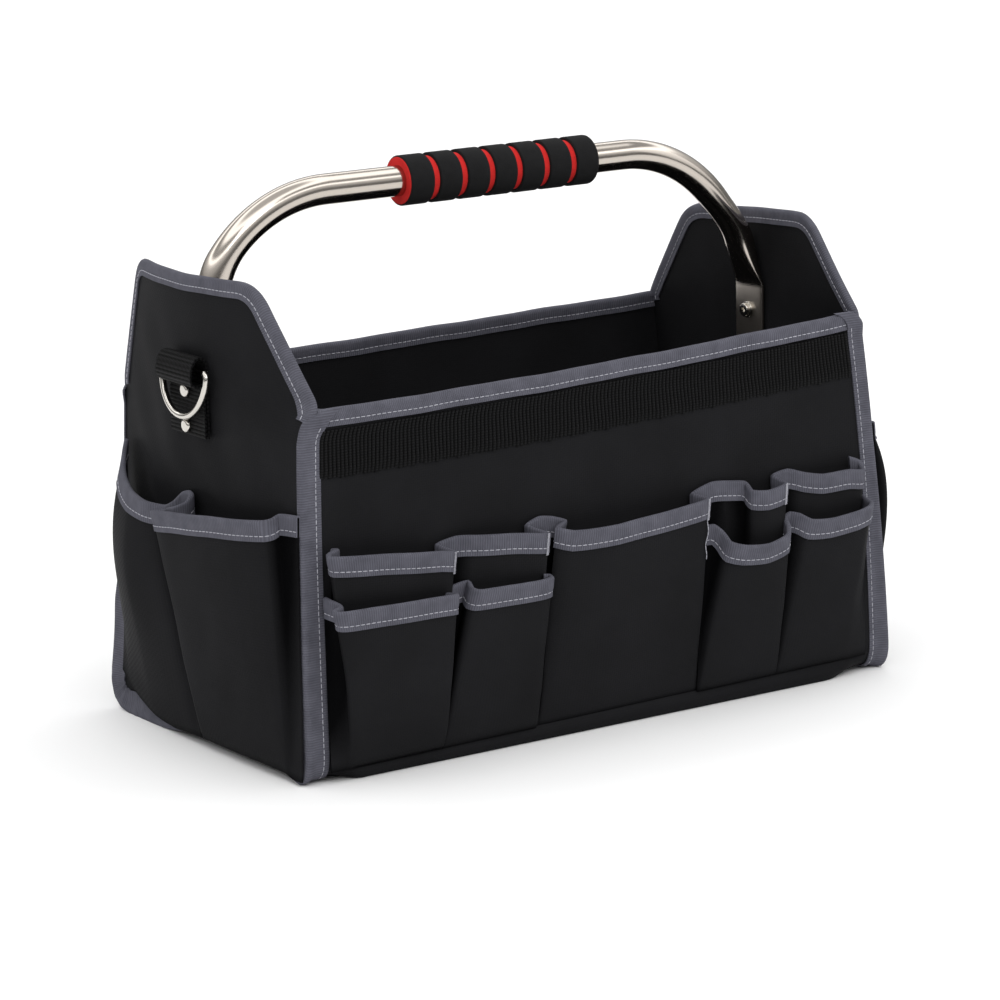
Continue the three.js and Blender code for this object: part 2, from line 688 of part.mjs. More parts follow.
// Strap: doubled webbing on the end panel, folded at the top into a loop round the ring's bar
function ringStrap(sign) {
  const inner = GAP + STRAP_THICK / 2;
  const outer = inner + STRAP_THICK + STRAP_LAYER_GAP;
  const path = [
    new THREE.Vector2(STRAP_FOOT, inner),
    ...STRAP_LOOP.map(({ rise, out }) => new THREE.Vector2(RING_BAR_Z + rise, out)),
    new THREE.Vector2(RING_BAR_Z - LOOP_NECK, outer),
    new THREE.Vector2(STRAP_FOOT, outer),
  ];
  const sides = mitres(path);
  const grid = (offset) => path.map((point, i) => [-1, 0, 1].map((across) => {
    const { x: z, y: out } = point.clone().addScaledVector(sides[i], offset);
    return new THREE.Vector3(sign * (END_MIDDLE + out), HANDLE_Y + across * STRAP_HALF_WIDTH, z);
  }));
  return thickSheet(grid(STRAP_THICK / 2), grid(-STRAP_THICK / 2));
}

// D-ring: a closed loop of round wire with a straight bar at the top, leaning clear of the strap
function ringOutline() {
  const straight = RING_HALF_WIDTH - RING_CORNER;
  const corner = (turn) => new THREE.Vector2(
    straight + RING_CORNER * Math.sin(turn),
    RING_CORNER * (Math.cos(turn) - 1),
  );
  const half = [new THREE.Vector2(straight, 0), corner(Math.PI / 6), corner(Math.PI / 3)];
  const bow = range(12).map((share) => new THREE.Vector2(
    RING_HALF_WIDTH * Math.cos(share * Math.PI),
    -RING_CORNER - RING_DROP * Math.sin(share * Math.PI),
  ));
  const mirrored = half.map(({ x, y }) => new THREE.Vector2(-x, y)).reverse();
  return [...half, ...bow, ...mirrored];
}

function dRing(sign) {
  const outline = ringOutline();
  const rings = outline.map((point, i) => {
    const before = outline.at(i - 1);
    const after = outline[(i + 1) % outline.length];
    const along = after.clone().sub(before).normalize();
    return range(RING_SIDES).slice(1).map((share) => {
      const angle = share * 2 * Math.PI;
      const wide = RING_WIRE * Math.cos(angle);
      const lift = RING_WIRE * Math.sin(angle);
      const drop = point.y + along.x * wide;
      return new THREE.Vector3(
        sign * (END_MIDDLE + RING_BAR_OUT + lift * Math.cos(RING_TILT) - drop * Math.sin(RING_TILT)),
        HANDLE_Y + point.x - along.y * wide,
        RING_BAR_Z + drop * Math.cos(RING_TILT) + lift * Math.sin(RING_TILT),
      );
    });
  });
  return loft(rings, true);
}

// The two ends with all that is fastened to them
for (const end of ENDS) {
  const { name, sign } = end;
  const outline = endOutline(end);
  const holes = boltHoles(sign);
  add(`end_panel_${name}`, cut(endPanel(end, outline), holes), OXFORD_CLOTH);
  add(`end_top_binding_${name}`, endRimTape(end, outline), EDGE_TAPE);
  add(`seam_binding_${name}`, seamTape(end), EDGE_TAPE);
  add(`end_pocket_${name}`, pocketStrip(END_STRIP, onEnd(end), endFoot), OXFORD_CLOTH);
  add(`end_pocket_binding_${name}`, stripTape(END_STRIP, onEnd(end), endFoot), EDGE_TAPE);
  add(`ring_strap_${name}`, cut(ringStrap(sign), holes), RIBBED_WEBBING);
  add(`d_ring_${name}`, dRing(sign), NICKEL);
  for (const { name: place, z } of BOLTS) {
    add(`handle_bolt_${name}_${place}`, bolt(sign, z), NICKEL);
  }
}
add('handle_tube', cut(handleTube(), ENDS.flatMap(({ sign }) => boltHoles(sign))), POLISHED_STEEL);

// Foam grip: a red sleeve on the tube and black rings spaced along it
function sleeve(start, end, inner, outer, round) {
  const profile = [
    [start, inner],
    [start, outer - round],
    [start + round, outer],
    [end - round, outer],
    [end, outer - round],
    [end, inner],
    [start, inner],
  ];
  const geometry = turned(profile, GRIP_SEGMENTS);
  geometry.translate(GRIP_SHIFT, HANDLE_Y, HANDLE_HEIGHT);
  return geometry;
}

const half = GRIP_LENGTH / 2;
add('grip_core', sleeve(-half, half, TUBE_RADIUS + GAP, GRIP_CORE_RADIUS, CORE_ROUND), RED_FOAM);
const middleRing = (GRIP_LENGTH - 2 * END_RING - (GRIP_RINGS - 1) * GROOVE) / (GRIP_RINGS - 2);
let ringStart = -half;
for (let i = 1; i <= GRIP_RINGS; i++) {
  const width = i === 1 || i === GRIP_RINGS ? END_RING : middleRing;
  const ring = sleeve(ringStart, ringStart + width, GRIP_CORE_RADIUS + GAP, GRIP_RADIUS, GRIP_ROUND);
  add(`grip_ring_${i}`, ring, BLACK_FOAM);
  ringStart += width + GROOVE;
}

export default bag;
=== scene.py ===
"""Looks of an open-topped tool bag: sewn cloth walls with pleated pockets, grey edge tape,
a bent steel tube handle with a foam grip, and a D-ring on each end."""
import math

import bmesh
import bpy
import numpy as np
from mathutils import Matrix, Vector


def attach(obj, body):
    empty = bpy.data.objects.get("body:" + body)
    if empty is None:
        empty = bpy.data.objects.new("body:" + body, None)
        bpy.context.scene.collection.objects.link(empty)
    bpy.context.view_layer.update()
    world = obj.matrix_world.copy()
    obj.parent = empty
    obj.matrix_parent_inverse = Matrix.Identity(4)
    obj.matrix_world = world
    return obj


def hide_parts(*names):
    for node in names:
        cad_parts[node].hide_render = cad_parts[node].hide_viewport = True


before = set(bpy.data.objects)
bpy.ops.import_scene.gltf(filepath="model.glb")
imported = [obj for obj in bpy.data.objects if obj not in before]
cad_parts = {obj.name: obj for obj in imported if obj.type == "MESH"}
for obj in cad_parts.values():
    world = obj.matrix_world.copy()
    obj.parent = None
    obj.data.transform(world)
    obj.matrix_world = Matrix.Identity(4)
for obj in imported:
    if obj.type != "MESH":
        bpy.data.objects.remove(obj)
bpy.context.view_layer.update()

# Sizes are in millimetres, and meshes are made in metres
MM = 0.001
# Which way the front and back walls face along Y
FRONT, BACK = -1, 1

# Cloth body
END_MIDDLE = 211.4
END_HEIGHT = 290
RIM_BOW = 15
BASE_HALF_DEPTH = 115
WALL_LEAN = 0.019
CLOTH = 3
BASE_THICK = 3.5
POCKET_CLOTH = 1.2
FRONT_RIM, FRONT_RISE, FRONT_SAG = 226, 0.0293, 3
BACK_RIM, BACK_RISE = 212.5, 0.016
RIM_ROUND = 14
WALL_END_GAP = 3.3
WALL_FOOT = 2.6
# The two ends, whose edges bow, swell and roll differently. Foot turns run along the front wall from its
# corners, roll tops are heights, and swells are those of the pocket's front and back parts
LEFT = {
    "name": "left", "sign": -1, "corners": [(-61, 289), (87, 286)],
    "foot_bow": 4, "bow_power": 4, "front_bow": 10, "back_bow": 7, "back_flare": 5,
    "foot_turn": (24, 9), "foot_roll": 5, "roll_top": 25, "front_leg": 13, "snug": 1, "swell": (0, 9)}
RIGHT = {
    "name": "right", "sign": 1, "corners": [(-62, 288.5), (65, 281.5)],
    "foot_bow": -11, "bow_power": 2, "front_bow": 0, "back_bow": 0, "back_flare": 0,
    "foot_turn": (39, 9), "foot_roll": 7, "roll_top": 150, "front_leg": 11, "snug": 0, "swell": (13, 0)}
ENDS = [LEFT, RIGHT]
# Heights between which an end's front edge bows, its back edge bows and its back foot flares
FRONT_BOW, BACK_BOW, BACK_FLARE = (203, 230), (50, 140), (60, 0)

# Edge tape, its seams and the ribbed band
TAPE = 0.9
TAPE_SIT = 0.15
TAPE_WIDTH = 11
RIM_LEG = 8
END_RIM_LEG = 7.5
SEAM_TAPE_FRONT = 13
SEAM_TAPE_END = 5
BACK_TAPE_END = 12
BACK_ROLL = 5
CORNER_ROUND = 4
CORNER_ROLL = 2
FLOOR_GAP = 0.1
# Roundings at the foot of the corners, tall and deep, and the height where they end
FRONT_FOOT_ROUND, BACK_FOOT_ROUND = (16, 10), (22, 22)
FOOT_FLAT = 3
# The front wall keeps this share of its rounding away from the corners
MIDDLE_TUCK = 0.15
WALL_LENGTH = 425
# The end panels' foot is lifted off the floor between the corners, over these stretches of Y
END_LIFT = 5.5
BACK_LIFT, FRONT_LIFT = (60, 0), (-106, -90)
STITCH_INSET = 3.2
STITCH_PITCH = 3.6
STITCH_LENGTH = 2.9
STITCH_RADIUS = 0.32
STITCH_SINK = 0.3
STITCH_DENT = 1.3
WEBBING_HEIGHT = 27
WEBBING_RIB = 2.6
WEBBING_THICK = 1.6

# Foot lines of the pockets, and how an end pocket's foot follows the panel's and rises at its back
FOOT_HEIGHT, FOOT_RISE = 10, 0.013
END_FOOT_HEIGHT, END_FOOT_LIFT = 3, 26
END_FOOT_FOLLOW = 0.55
END_FOOT_RISE = (25, 100)
# Pocket strips: columns are along the wall, out from it, and height, all at the rim, and along at the foot
BILLOW = 0.62
PLEAT_CLOSE = 1.5
UPPER_STRIP = {"foot_out": 1.1, "rows": [
    (-188.5, 3.2, 140, -194), (-187.5, 7, 140.4, -188), (-196, 11.5, 139.5, -184),
    (-196.5, 15, 138.5, -182), (-186, 17.5, 137.7, -175), (-153, 20, 135.3, -150),
    (-124, 18.5, 131.7, -125), (-112, 15.5, 129.5, -118.5), (-116, 3.2, 132.4, -117),
    (-104, 5, 135.4, -110), (-90, 10, 135.1, -95), (-72, 15, 134.6, -75),
    (-45, 15.5, 130.8, -51), (-52.5, 4, 134.9, -49.8), (-43, 3.2, 138, -49),
    (-33, 3.2, 136.6, -48), (-25, 4.5, 134, -47), (-36, 12, 132.7, -46),
    (-27, 17, 129.8, -40), (3, 21, 129.7, 0), (38.5, 19, 131.7, 38),
    (74.5, 15.5, 135, 69.5), (70.5, 4, 136.5, 71), (86, 3.2, 140.7, 78),
    (101, 3.2, 139.6, 95), (111.5, 4, 138, 108), (111.5, 11, 133.8, 112),
    (121, 15, 133, 120), (136, 13.5, 136, 132.5), (133.5, 3.5, 139.5, 134),
    (145, 3.5, 141.3, 142), (155, 8, 138.3, 152), (166, 12, 136.5, 165),
    (186, 13, 136.7, 184), (199, 11, 135.3, 195), (200.5, 6, 140, 198),
    (194, 3.2, 142.9, 200)]}
LOWER_LEFT_STRIP = {"foot_out": 2.9, "rows": [
    (-194.5, 3.6, 112, -195), (-195, 11, 111.5, -190), (-193, 16.5, 110, -186),
    (-194, 19.8, 109.5, -185), (-200, 22.8, 109.2, -184), (-200.5, 26, 108.8, -183),
    (-196, 28, 108.6, -181), (-185, 28.5, 108.4, -174), (-158, 29, 108.3, -150),
    (-130, 28, 107.2, -128), (-118.5, 26, 106.5, -118.6), (-116.5, 22.5, 106.2, -118.4),
    (-118.5, 14, 105.2, -118.2), (-108, 8.5, 107.5, -118), (-99.5, 9.5, 109, -117.8),
    (-102, 18, 107, -117.6), (-99.5, 21.5, 106, -116), (-91, 22.5, 105.7, -104),
    (-71.5, 24, 105.3, -76), (-53, 23.5, 105.2, -56), (-47.5, 21.5, 105.4, -52),
    (-46.8, 18, 105.8, -51), (-49.5, 16, 106, -50)]}
LOWER_RIGHT_STRIP = {"foot_out": 2.9, "rows": [
    (78, 6, 115, 71.5), (85, 7, 114.7, 72), (88, 11, 111, 72.3), (89, 18, 105.5, 72.8),
    (97, 22.5, 103, 82), (115, 23.5, 101.6, 108), (130.5, 21.5, 105.5, 130),
    (134.5, 17.5, 109.5, 131.6), (137, 10.5, 113.8, 132), (142, 9, 115.2, 132.4),
    (146, 13.5, 114.4, 132.8), (151, 20, 111, 134), (165, 22.5, 110.2, 154),
    (187, 22.5, 112, 177), (196.5, 21, 114, 186.5),
    (200.5, 17.5, 115.4, 192), (202, 11, 116, 199), (203.5, 3.6, 117, 205)]}
END_STRIP = {"foot_out": 4, "rows": [
    (100, 3.2, 172, 98), (93, 7, 167, 92), (86, 10.5, 161, 86), (76, 13.5, 154.5, 76),
    (58, 16.5, 149.5, 56), (40, 16.5, 147.3, 30), (32, 14.5, 146.8, 8), (24, 9.5, 146, 2),
    (16.5, 8, 149.5, -1), (14, 3.4, 154.5, -1.5), (6.5, 2.4, 157, -2), (-0.5, 4.5, 156.5, -2.4),
    (-2, 10, 152.5, -2.8), (3, 15, 149.5, -3.2), (9, 15.5, 148, -3.5), (13.5, 14.4, 146.3, -3.8),
    (17.5, 15.8, 145.2, -4.1), (20, 18.2, 145.2, -4.4), (20, 20.8, 145.6, -5),
    (13, 22.2, 146.7, -12), (-5, 22.5, 149, -32), (-35, 22, 152, -52), (-64, 20, 155.2, -74),
    (-87, 16, 157.2, -95), (-93.5, 13, 157.8, -99), (-95, 8.5, 158.6, -100), (-95.5, 4, 160.6, -102),
    (-102, 2.6, 161.2, -106), (-112, 2, 161.4, -112)]}

# Handle and grip
HANDLE_Y = 2
TUBE_RADIUS = 9.5
HANDLE_HEIGHT = 331
BEND_START = 110
BEND_RADIUS = 92
CRIMP_TOP, CRIMP_FOOT = 268, 238.5
LEG_FOOT = 186
LEG_HALF_WIDTH = 14
LEG_HALF_THICK = 2
LEG_SQUARENESS = 0.55
LEG_TIP = 0.35
LEG_GAP = 0.3
GRIP_SHIFT = 7.5
GRIP_LENGTH = 140
GRIP_LIP = 0.9
GRIP_RIM = 1
GRIP_CORE_RADIUS = 13.5
GRIP_RADIUS = 15.5
GRIP_RINGS = 7
GROOVE = 4.5
END_RING = 16.5
FOAM_FIT = 0.1

# Bolts, straps and D-rings
BOLTS = {"upper": 220.5, "lower": 199}
HEAD_RADIUS = 4.4
HEAD_HEIGHT = 2.8
DOME_ROUND = 1.9
HEAD_ROUND = 0.7
WASHER_RADIUS = 5.4
WASHER_THICK = 1
WASHER_ROUND = 0.3
SOCKET_RADIUS = 1.9
SOCKET_DEPTH = 2
STRAP_HALF_WIDTH = 20.5
STRAP_THICK = 1.6
STRAP_FOOT = 193.5
STRAP_MIDDLE = 215
STRAP_RIB = 2.3
STRAP_RELIEF = 0.35
STRAP_INNER, STRAP_OUTER = 1.1, 3.1
LOOP_NECK = 9.2
STRAP_LOOP = [
    (2, 1.1), (6, 1.7), (8.6, 4.6), (8, 8.2), (4, 11), (-3, 12.4), (-7, 11.4), (-8.6, 8), (-8, 4.6)]
RING_BAR_Z = 234
RING_BAR_OUT = 4.4
RING_WIRE = 2.1
RING_HALF_WIDTH = 26
RING_CORNER = 4
RING_DROP = 25
RING_TILT = math.radians(7)


def srgb(text):
    """A hex colour as linear RGBA."""
    values = [int(text[i:i + 2], 16) / 255 for i in (1, 3, 5)]
    return [v / 12.92 if v <= 0.04045 else ((v + 0.055) / 1.055) ** 2.4 for v in values] + [1]


def node(tree, kind, sockets=None, **settings):
    """Adds a node with its settings, and sets or links its sockets."""
    made = tree.nodes.new(kind)
    for key, value in settings.items():
        setattr(made, key, value)
    for key, value in (sockets or {}).items():
        if isinstance(value, bpy.types.NodeSocket):
            tree.links.new(value, made.inputs[key])
        else:
            made.inputs[key].default_value = value
    return made


def new_material(name, **values):
    """A material with its shader's plain values set, its node tree and its shader."""
    material = bpy.data.materials.new(name)
    material.use_nodes = True
    shader = material.node_tree.nodes["Principled BSDF"]
    for key, value in values.items():
        shader.inputs[key.replace("_", " ").title().replace("Ior", "IOR")].default_value = value
    return material, material.node_tree, shader


# Coated oxford cloth: polyester plain weave, black, with a faint sheen from its coating.
# The real threads are about 0.5 mm apart, and are drawn coarser so that the weave shows
WEAVE_PITCH = 1.5


def coated_oxford():
    material, tree, shader = new_material("coated_oxford_cloth", roughness=0.5, specular_ior_level=0.015)
    uv = node(tree, "ShaderNodeTexCoord").outputs["UV"]
    threads = node(tree, "ShaderNodeMapping", {"Vector": uv, "Scale": [1 / (WEAVE_PITCH * MM)] * 3})
    axes = node(tree, "ShaderNodeSeparateXYZ", {"Vector": threads.outputs[0]})
    rounds = []
    for axis in "XY":
        turn = node(tree, "ShaderNodeMath", {0: axes.outputs[axis], 1: math.pi}, operation="MULTIPLY")
        wave = node(tree, "ShaderNodeMath", {0: turn.outputs[0]}, operation="SINE")
        rounds.append(node(tree, "ShaderNodeMath", {0: wave.outputs[0]}, operation="ABSOLUTE").outputs[0])
    over = node(tree, "ShaderNodeTexChecker", {"Vector": threads.outputs[0], "Scale": 1})
    weave = node(tree, "ShaderNodeMix", {"Factor": over.outputs["Fac"], "A": rounds[0], "B": rounds[1]})
    place = node(tree, "ShaderNodeTexCoord").outputs["Object"]
    cloud = node(tree, "ShaderNodeTexNoise", {"Vector": place, "Scale": 1 / (40 * MM), "Detail": 4})
    tone = node(tree, "ShaderNodeMix", {
        "Factor": cloud.outputs["Fac"], 6: srgb("#1a1a1b"), 7: srgb("#222224")}, data_type="RGBA")
    shade = node(tree, "ShaderNodeMapRange", {"Value": weave.outputs[0], "To Min": 0.87, "To Max": 1.08})
    colour = node(tree, "ShaderNodeMix", {
        "Factor": 1, 6: tone.outputs[2], 7: shade.outputs[0]}, data_type="RGBA", blend_type="MULTIPLY")
    # Cloth deep in folds and along the pockets' foot is mixed towards near black: painted shade
    fold = node(tree, "ShaderNodeAttribute", attribute_name="fold").outputs["Fac"]
    painted_fold_shade = node(tree, "ShaderNodeMix", {
        "Factor": fold, 6: colour.outputs[2], 7: srgb("#060607")}, data_type="RGBA")
    tree.links.new(painted_fold_shade.outputs[2], shader.inputs["Base Color"])
    bump = node(tree, "ShaderNodeBump", {"Height": weave.outputs[0], "Strength": 0.25, "Distance": 0.2 * MM})
    tree.links.new(bump.outputs[0], shader.inputs["Normal"])
    return material


# Grosgrain tape: woven polyester with close ribs across it, matt grey with a cool tint.
# The real ribs are under 1 mm apart, and are drawn wider so that they show
RIB_PITCH = 1.5


def grosgrain_tape():
    material, tree, shader = new_material("grosgrain_tape", roughness=0.85, specular_ior_level=0.15)
    uv = node(tree, "ShaderNodeTexCoord").outputs["UV"]
    axes = node(tree, "ShaderNodeSeparateXYZ", {"Vector": uv})
    turn = node(tree, "ShaderNodeMath", {
        0: axes.outputs["X"], 1: 2 * math.pi / (RIB_PITCH * MM)}, operation="MULTIPLY")
    rib = node(tree, "ShaderNodeMath", {0: turn.outputs[0]}, operation="SINE")
    place = node(tree, "ShaderNodeTexCoord").outputs["Object"]
    cloud = node(tree, "ShaderNodeTexNoise", {"Vector": place, "Scale": 1 / (9 * MM), "Detail": 5})
    tone = node(tree, "ShaderNodeMix", {
        "Factor": cloud.outputs["Fac"], 6: srgb("#44444c"), 7: srgb("#63636d")}, data_type="RGBA")
    shade = node(tree, "ShaderNodeMapRange", {
        "Value": rib.outputs[0], "From Min": -1, "To Min": 0.8, "To Max": 1.12})
    colour = node(tree, "ShaderNodeMix", {
        "Factor": 1, 6: tone.outputs[2], 7: shade.outputs[0]}, data_type="RGBA", blend_type="MULTIPLY")
    tree.links.new(colour.outputs[2], shader.inputs["Base Color"])
    bump = node(tree, "ShaderNodeBump", {"Height": rib.outputs[0], "Strength": 0.4, "Distance": 0.2 * MM})
    tree.links.new(bump.outputs[0], shader.inputs["Normal"])
    return material


# Ribbed nylon webbing: black, its ribs beaded by the cross threads, with painted shade in the grooves
# between them
BEAD_PITCH = 1.6


def nylon_webbing():
    material, tree, shader = new_material("nylon_webbing", roughness=0.55, specular_ior_level=0.06)
    uv = node(tree, "ShaderNodeTexCoord").outputs["UV"]
    axes = node(tree, "ShaderNodeSeparateXYZ", {"Vector": uv})
    turn = node(tree, "ShaderNodeMath", {
        0: axes.outputs["Y"], 1: 2 * math.pi / (BEAD_PITCH * MM)}, operation="MULTIPLY")
    bead = node(tree, "ShaderNodeMath", {0: turn.outputs[0]}, operation="SINE")
    along = node(tree, "ShaderNodeMath", {
        0: axes.outputs["X"], 1: math.pi / (WEBBING_RIB * MM)}, operation="MULTIPLY")
    wave = node(tree, "ShaderNodeMath", {0: along.outputs[0]}, operation="SINE")
    rib = node(tree, "ShaderNodeMath", {0: wave.outputs[0]}, operation="ABSOLUTE")
    # Darker towards near black in the grooves between ribs and beads: painted shade
    shade = node(tree, "ShaderNodeMapRange", {"Value": bead.outputs[0], "From Min": -1, "To Min": 0.3})
    rib_and_bead_shade = node(tree, "ShaderNodeMath", {0: rib.outputs[0], 1: shade.outputs[0]}, operation="MULTIPLY")
    colour = node(tree, "ShaderNodeMix", {
        "Factor": rib_and_bead_shade.outputs[0], 6: srgb("#010101"), 7: srgb("#1c1c1d")}, data_type="RGBA")
    tree.links.new(colour.outputs[2], shader.inputs["Base Color"])
    bump = node(tree, "ShaderNodeBump", {"Height": bead.outputs[0], "Strength": 0.3, "Distance": 0.2 * MM})
    tree.links.new(bump.outputs[0], shader.inputs["Normal"])
    return material


# Polyester sewing thread: pale grey, slightly lustrous
def sewing_thread():
    material, tree, shader = new_material("sewing_thread", roughness=0.6)
    place = node(tree, "ShaderNodeTexCoord").outputs["Object"]
    cloud = node(tree, "ShaderNodeTexNoise", {"Vector": place, "Scale": 1 / (6 * MM)})
    tone = node(tree, "ShaderNodeMix", {
        "Factor": cloud.outputs["Fac"], 6: srgb("#8d8d97"), 7: srgb("#b9b9c1")}, data_type="RGBA")
    tree.links.new(tone.outputs[2], shader.inputs["Base Color"])
    return material


# Bright plated steel: polished nickel-chrome, slightly warm, with faint handling marks
def plated_steel(name, tint, low, high, satin=0):
    """Below the crimp, satin is added to the roughness."""
    material, tree, shader = new_material(name, metallic=1, base_color=srgb(tint))
    place = node(tree, "ShaderNodeTexCoord").outputs["Object"]
    height = node(tree, "ShaderNodeSeparateXYZ", {0: place}).outputs["Z"]
    pressed = node(tree, "ShaderNodeMapRange", {
        "Value": height, "From Min": (CRIMP_FOOT - 2) * MM, "From Max": (CRIMP_FOOT + 3) * MM,
        "To Min": satin, "To Max": 0})
    marks = node(tree, "ShaderNodeTexNoise", {"Vector": place, "Scale": 1 / (12 * MM), "Detail": 6})
    rough = node(tree, "ShaderNodeMapRange", {"Value": marks.outputs["Fac"], "To Min": low, "To Max": high})
    total = node(tree, "ShaderNodeMath", {0: rough.outputs[0], 1: pressed.outputs[0]}, operation="ADD")
    tree.links.new(total.outputs[0], shader.inputs["Roughness"])
    bump = node(tree, "ShaderNodeBump", {
        "Height": marks.outputs["Fac"], "Strength": 0.05, "Distance": 0.2 * MM})
    tree.links.new(bump.outputs[0], shader.inputs["Normal"])
    return material


# Closed-cell nitrile foam: matt, with fine open pores in its cut surface
PORE = 0.9


def nitrile_foam(name, dark, light):
    material, tree, shader = new_material(name, roughness=0.92, specular_ior_level=0.2)
    place = node(tree, "ShaderNodeTexCoord").outputs["Object"]
    pores = node(tree, "ShaderNodeTexVoronoi", {"Vector": place, "Scale": 1 / (PORE * MM)})
    cloud = node(tree, "ShaderNodeTexNoise", {"Vector": place, "Scale": 1 / (5 * MM), "Detail": 6})
    tone = node(tree, "ShaderNodeMix", {
        "Factor": cloud.outputs["Fac"], 6: srgb(dark), 7: srgb(light)}, data_type="RGBA")
    tree.links.new(tone.outputs[2], shader.inputs["Base Color"])
    bump = node(tree, "ShaderNodeBump", {
        "Height": pores.outputs["Distance"], "Strength": 0.4, "Distance": 0.25 * MM})
    tree.links.new(bump.outputs[0], shader.inputs["Normal"])
    return material


OXFORD = coated_oxford()
GROSGRAIN = grosgrain_tape()
WEBBING = nylon_webbing()
THREAD = sewing_thread()
TUBE_STEEL = plated_steel("polished_plated_steel", "#bcb4ab", 0.1, 0.2, satin=0.16)
NICKEL = plated_steel("bright_nickel", "#c9c5be", 0.1, 0.22)
BLACK_FOAM = nitrile_foam("black_nitrile_foam", "#0e0e0f", "#19191a")
RED_FOAM = nitrile_foam("red_nitrile_foam", "#b8201f", "#d32c29")


def lerp(a, b, share):
    return a + (b - a) * share


def ramp(value, start, stop):
    """0 at start and 1 at stop, straight between them and level beyond."""
    return np.clip((value - start) / (stop - start), 0, 1)


def ease(value, start, stop):
    """0 at start and 1 at stop, smooth between them and level beyond."""
    share = ramp(value, start, stop)
    return share * share * (3 - 2 * share)


# Surfaces of the cloth body
def half_depth(z):
    return BASE_HALF_DEPTH - WALL_LEAN * z


def end_bow(end, y, z):
    """How far an end panel's upright edge stands in from its middle."""
    bow = end["foot_bow"] + (RIM_BOW - end["foot_bow"]) * (z / END_HEIGHT) ** end["bow_power"]
    front = end["front_bow"] * ease(z, *FRONT_BOW)
    back = end["back_bow"] * ease(z, *BACK_BOW) - end["back_flare"] * ease(z, *BACK_FLARE)
    return bow + np.where(np.asarray(y) > 0, back, front)


def corner_x(end, z, face=FRONT):
    return END_MIDDLE - end_bow(end, face, z)


def end_face(end, y, z):
    return END_MIDDLE - end_bow(end, y, z) * (y / half_depth(z)) ** 2


def across(share, z, inset, face=FRONT):
    """A place along the front or back wall, from its left corner to its right one."""
    return lerp(inset - corner_x(LEFT, z, face), corner_x(RIGHT, z, face) - inset, share)


def points_at(x, y, z):
    return np.stack(np.broadcast_arrays(x, y, z), axis=-1).astype(float)


def on_wall(face):
    return lambda x, out, z: points_at(x, face * (half_depth(z) + out), z)


def foot_tuck(z, rounding):
    """How far a wall turns in near the floor."""
    tall, deep = rounding
    low = ramp(z, FOOT_FLAT + tall, FOOT_FLAT)
    return deep * (1 - np.sqrt(1 - low ** 2))


def near_corner(share):
    """How much a place along the front wall belongs to its corners, from 0 to 1."""
    parts = zip(ENDS, (share, 1 - share))
    return np.maximum(*(ease(part * WALL_LENGTH, *end["foot_turn"]) for end, part in parts))


def front_tuck(share, z):
    return foot_tuck(z, FRONT_FOOT_ROUND) * lerp(MIDDLE_TUCK, 1, near_corner(share))


def back_tuck(share, z):
    return foot_tuck(z, BACK_FOOT_ROUND)


def end_lift(y):
    """How far an end panel's foot stands off the floor, between its corners."""
    return END_LIFT * ease(y, *BACK_LIFT) * ease(y, *FRONT_LIFT)


def on_end(end):
    return lambda y, out, z: points_at(end["sign"] * (end_face(end, y, z) + out), y, z)


def front_foot(x):
    """Height of the front pockets' foot line."""
    return FOOT_HEIGHT + FOOT_RISE * x


def end_foot(y):
    """Height of an end pocket's foot line."""
    return END_FOOT_HEIGHT + END_FOOT_FOLLOW * end_lift(y) + END_FOOT_LIFT * ramp(y, *END_FOOT_RISE) ** 2


def front_rim(x):
    return FRONT_RIM + FRONT_RISE * x - FRONT_SAG * (1 - (x / END_MIDDLE) ** 2)


def back_rim(x):
    return BACK_RIM + BACK_RISE * x


# Soft unevenness of cloth: wavelength, direction in degrees, share and phase of each wave
RIPPLES = [(88, 25, 0.45, 0.4), (57, 100, 0.3, 1.9), (37, 150, 0.25, 3.1)]


def ripple(along, up):
    total = 0
    for wavelength, degrees, share, phase in RIPPLES:
        turn = math.radians(degrees)
        travel = along * math.cos(turn) + up * math.sin(turn)
        total = total + share * np.sin(2 * math.pi * travel / wavelength + phase)
    return total


# Meshes
SHARP = math.radians(48)


def grid_quads(index):
    return np.stack([index[:-1, :-1], index[1:, :-1], index[1:, 1:], index[:-1, 1:]], axis=-1).reshape(-1, 4)


def closed_sheet(outer, inner, uv, fold=None):
    """A wall between two grids of points, closed around its edges, facing outwards.
    fold is how deep in a fold each point lies, from 0 to 1."""
    rows, columns = outer.shape[:2]
    front = np.arange(rows * columns).reshape(rows, columns)
    back = front + rows * columns
    edges = [
        grid_quads(np.stack([back[:, 0], front[:, 0]], axis=1)),
        grid_quads(np.stack([front[:, -1], back[:, -1]], axis=1)),
        grid_quads(np.stack([back[0], front[0]])),
        grid_quads(np.stack([front[-1], back[-1]])),
    ]
    quads = np.concatenate([grid_quads(front), grid_quads(back)[:, ::-1], *edges])
    points = np.concatenate([outer.reshape(-1, 3), inner.reshape(-1, 3)])
    a, b, c, d = (points[quads[:, k]] for k in range(4))
    if np.sum(np.cross(c - a, d - b) * (a + b + c + d)) < 0:
        quads = quads[:, ::-1]
    flat = uv.reshape(-1, 2)
    deep = np.zeros(rows * columns) if fold is None else fold.ravel()
    return points, quads, np.concatenate([flat, flat]), np.concatenate([deep, deep])


def merged(parts):
    """Several meshes as one."""
    points, quads, uvs, folds = zip(*parts)
    shifts = np.cumsum([0] + [len(part) for part in points[:-1]])
    quads = [part + shift for part, shift in zip(quads, shifts)]
    return [np.concatenate(each) for each in (points, quads, uvs, folds)]


def dress(obj, material, nodes=(), body="bag"):
    """Gives a piece its finish, its body and the solids that it stands for."""
    obj.data.materials.clear()
    obj.data.materials.append(material)
    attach(obj, body)
    if nodes:
        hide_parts(*nodes)
    return obj


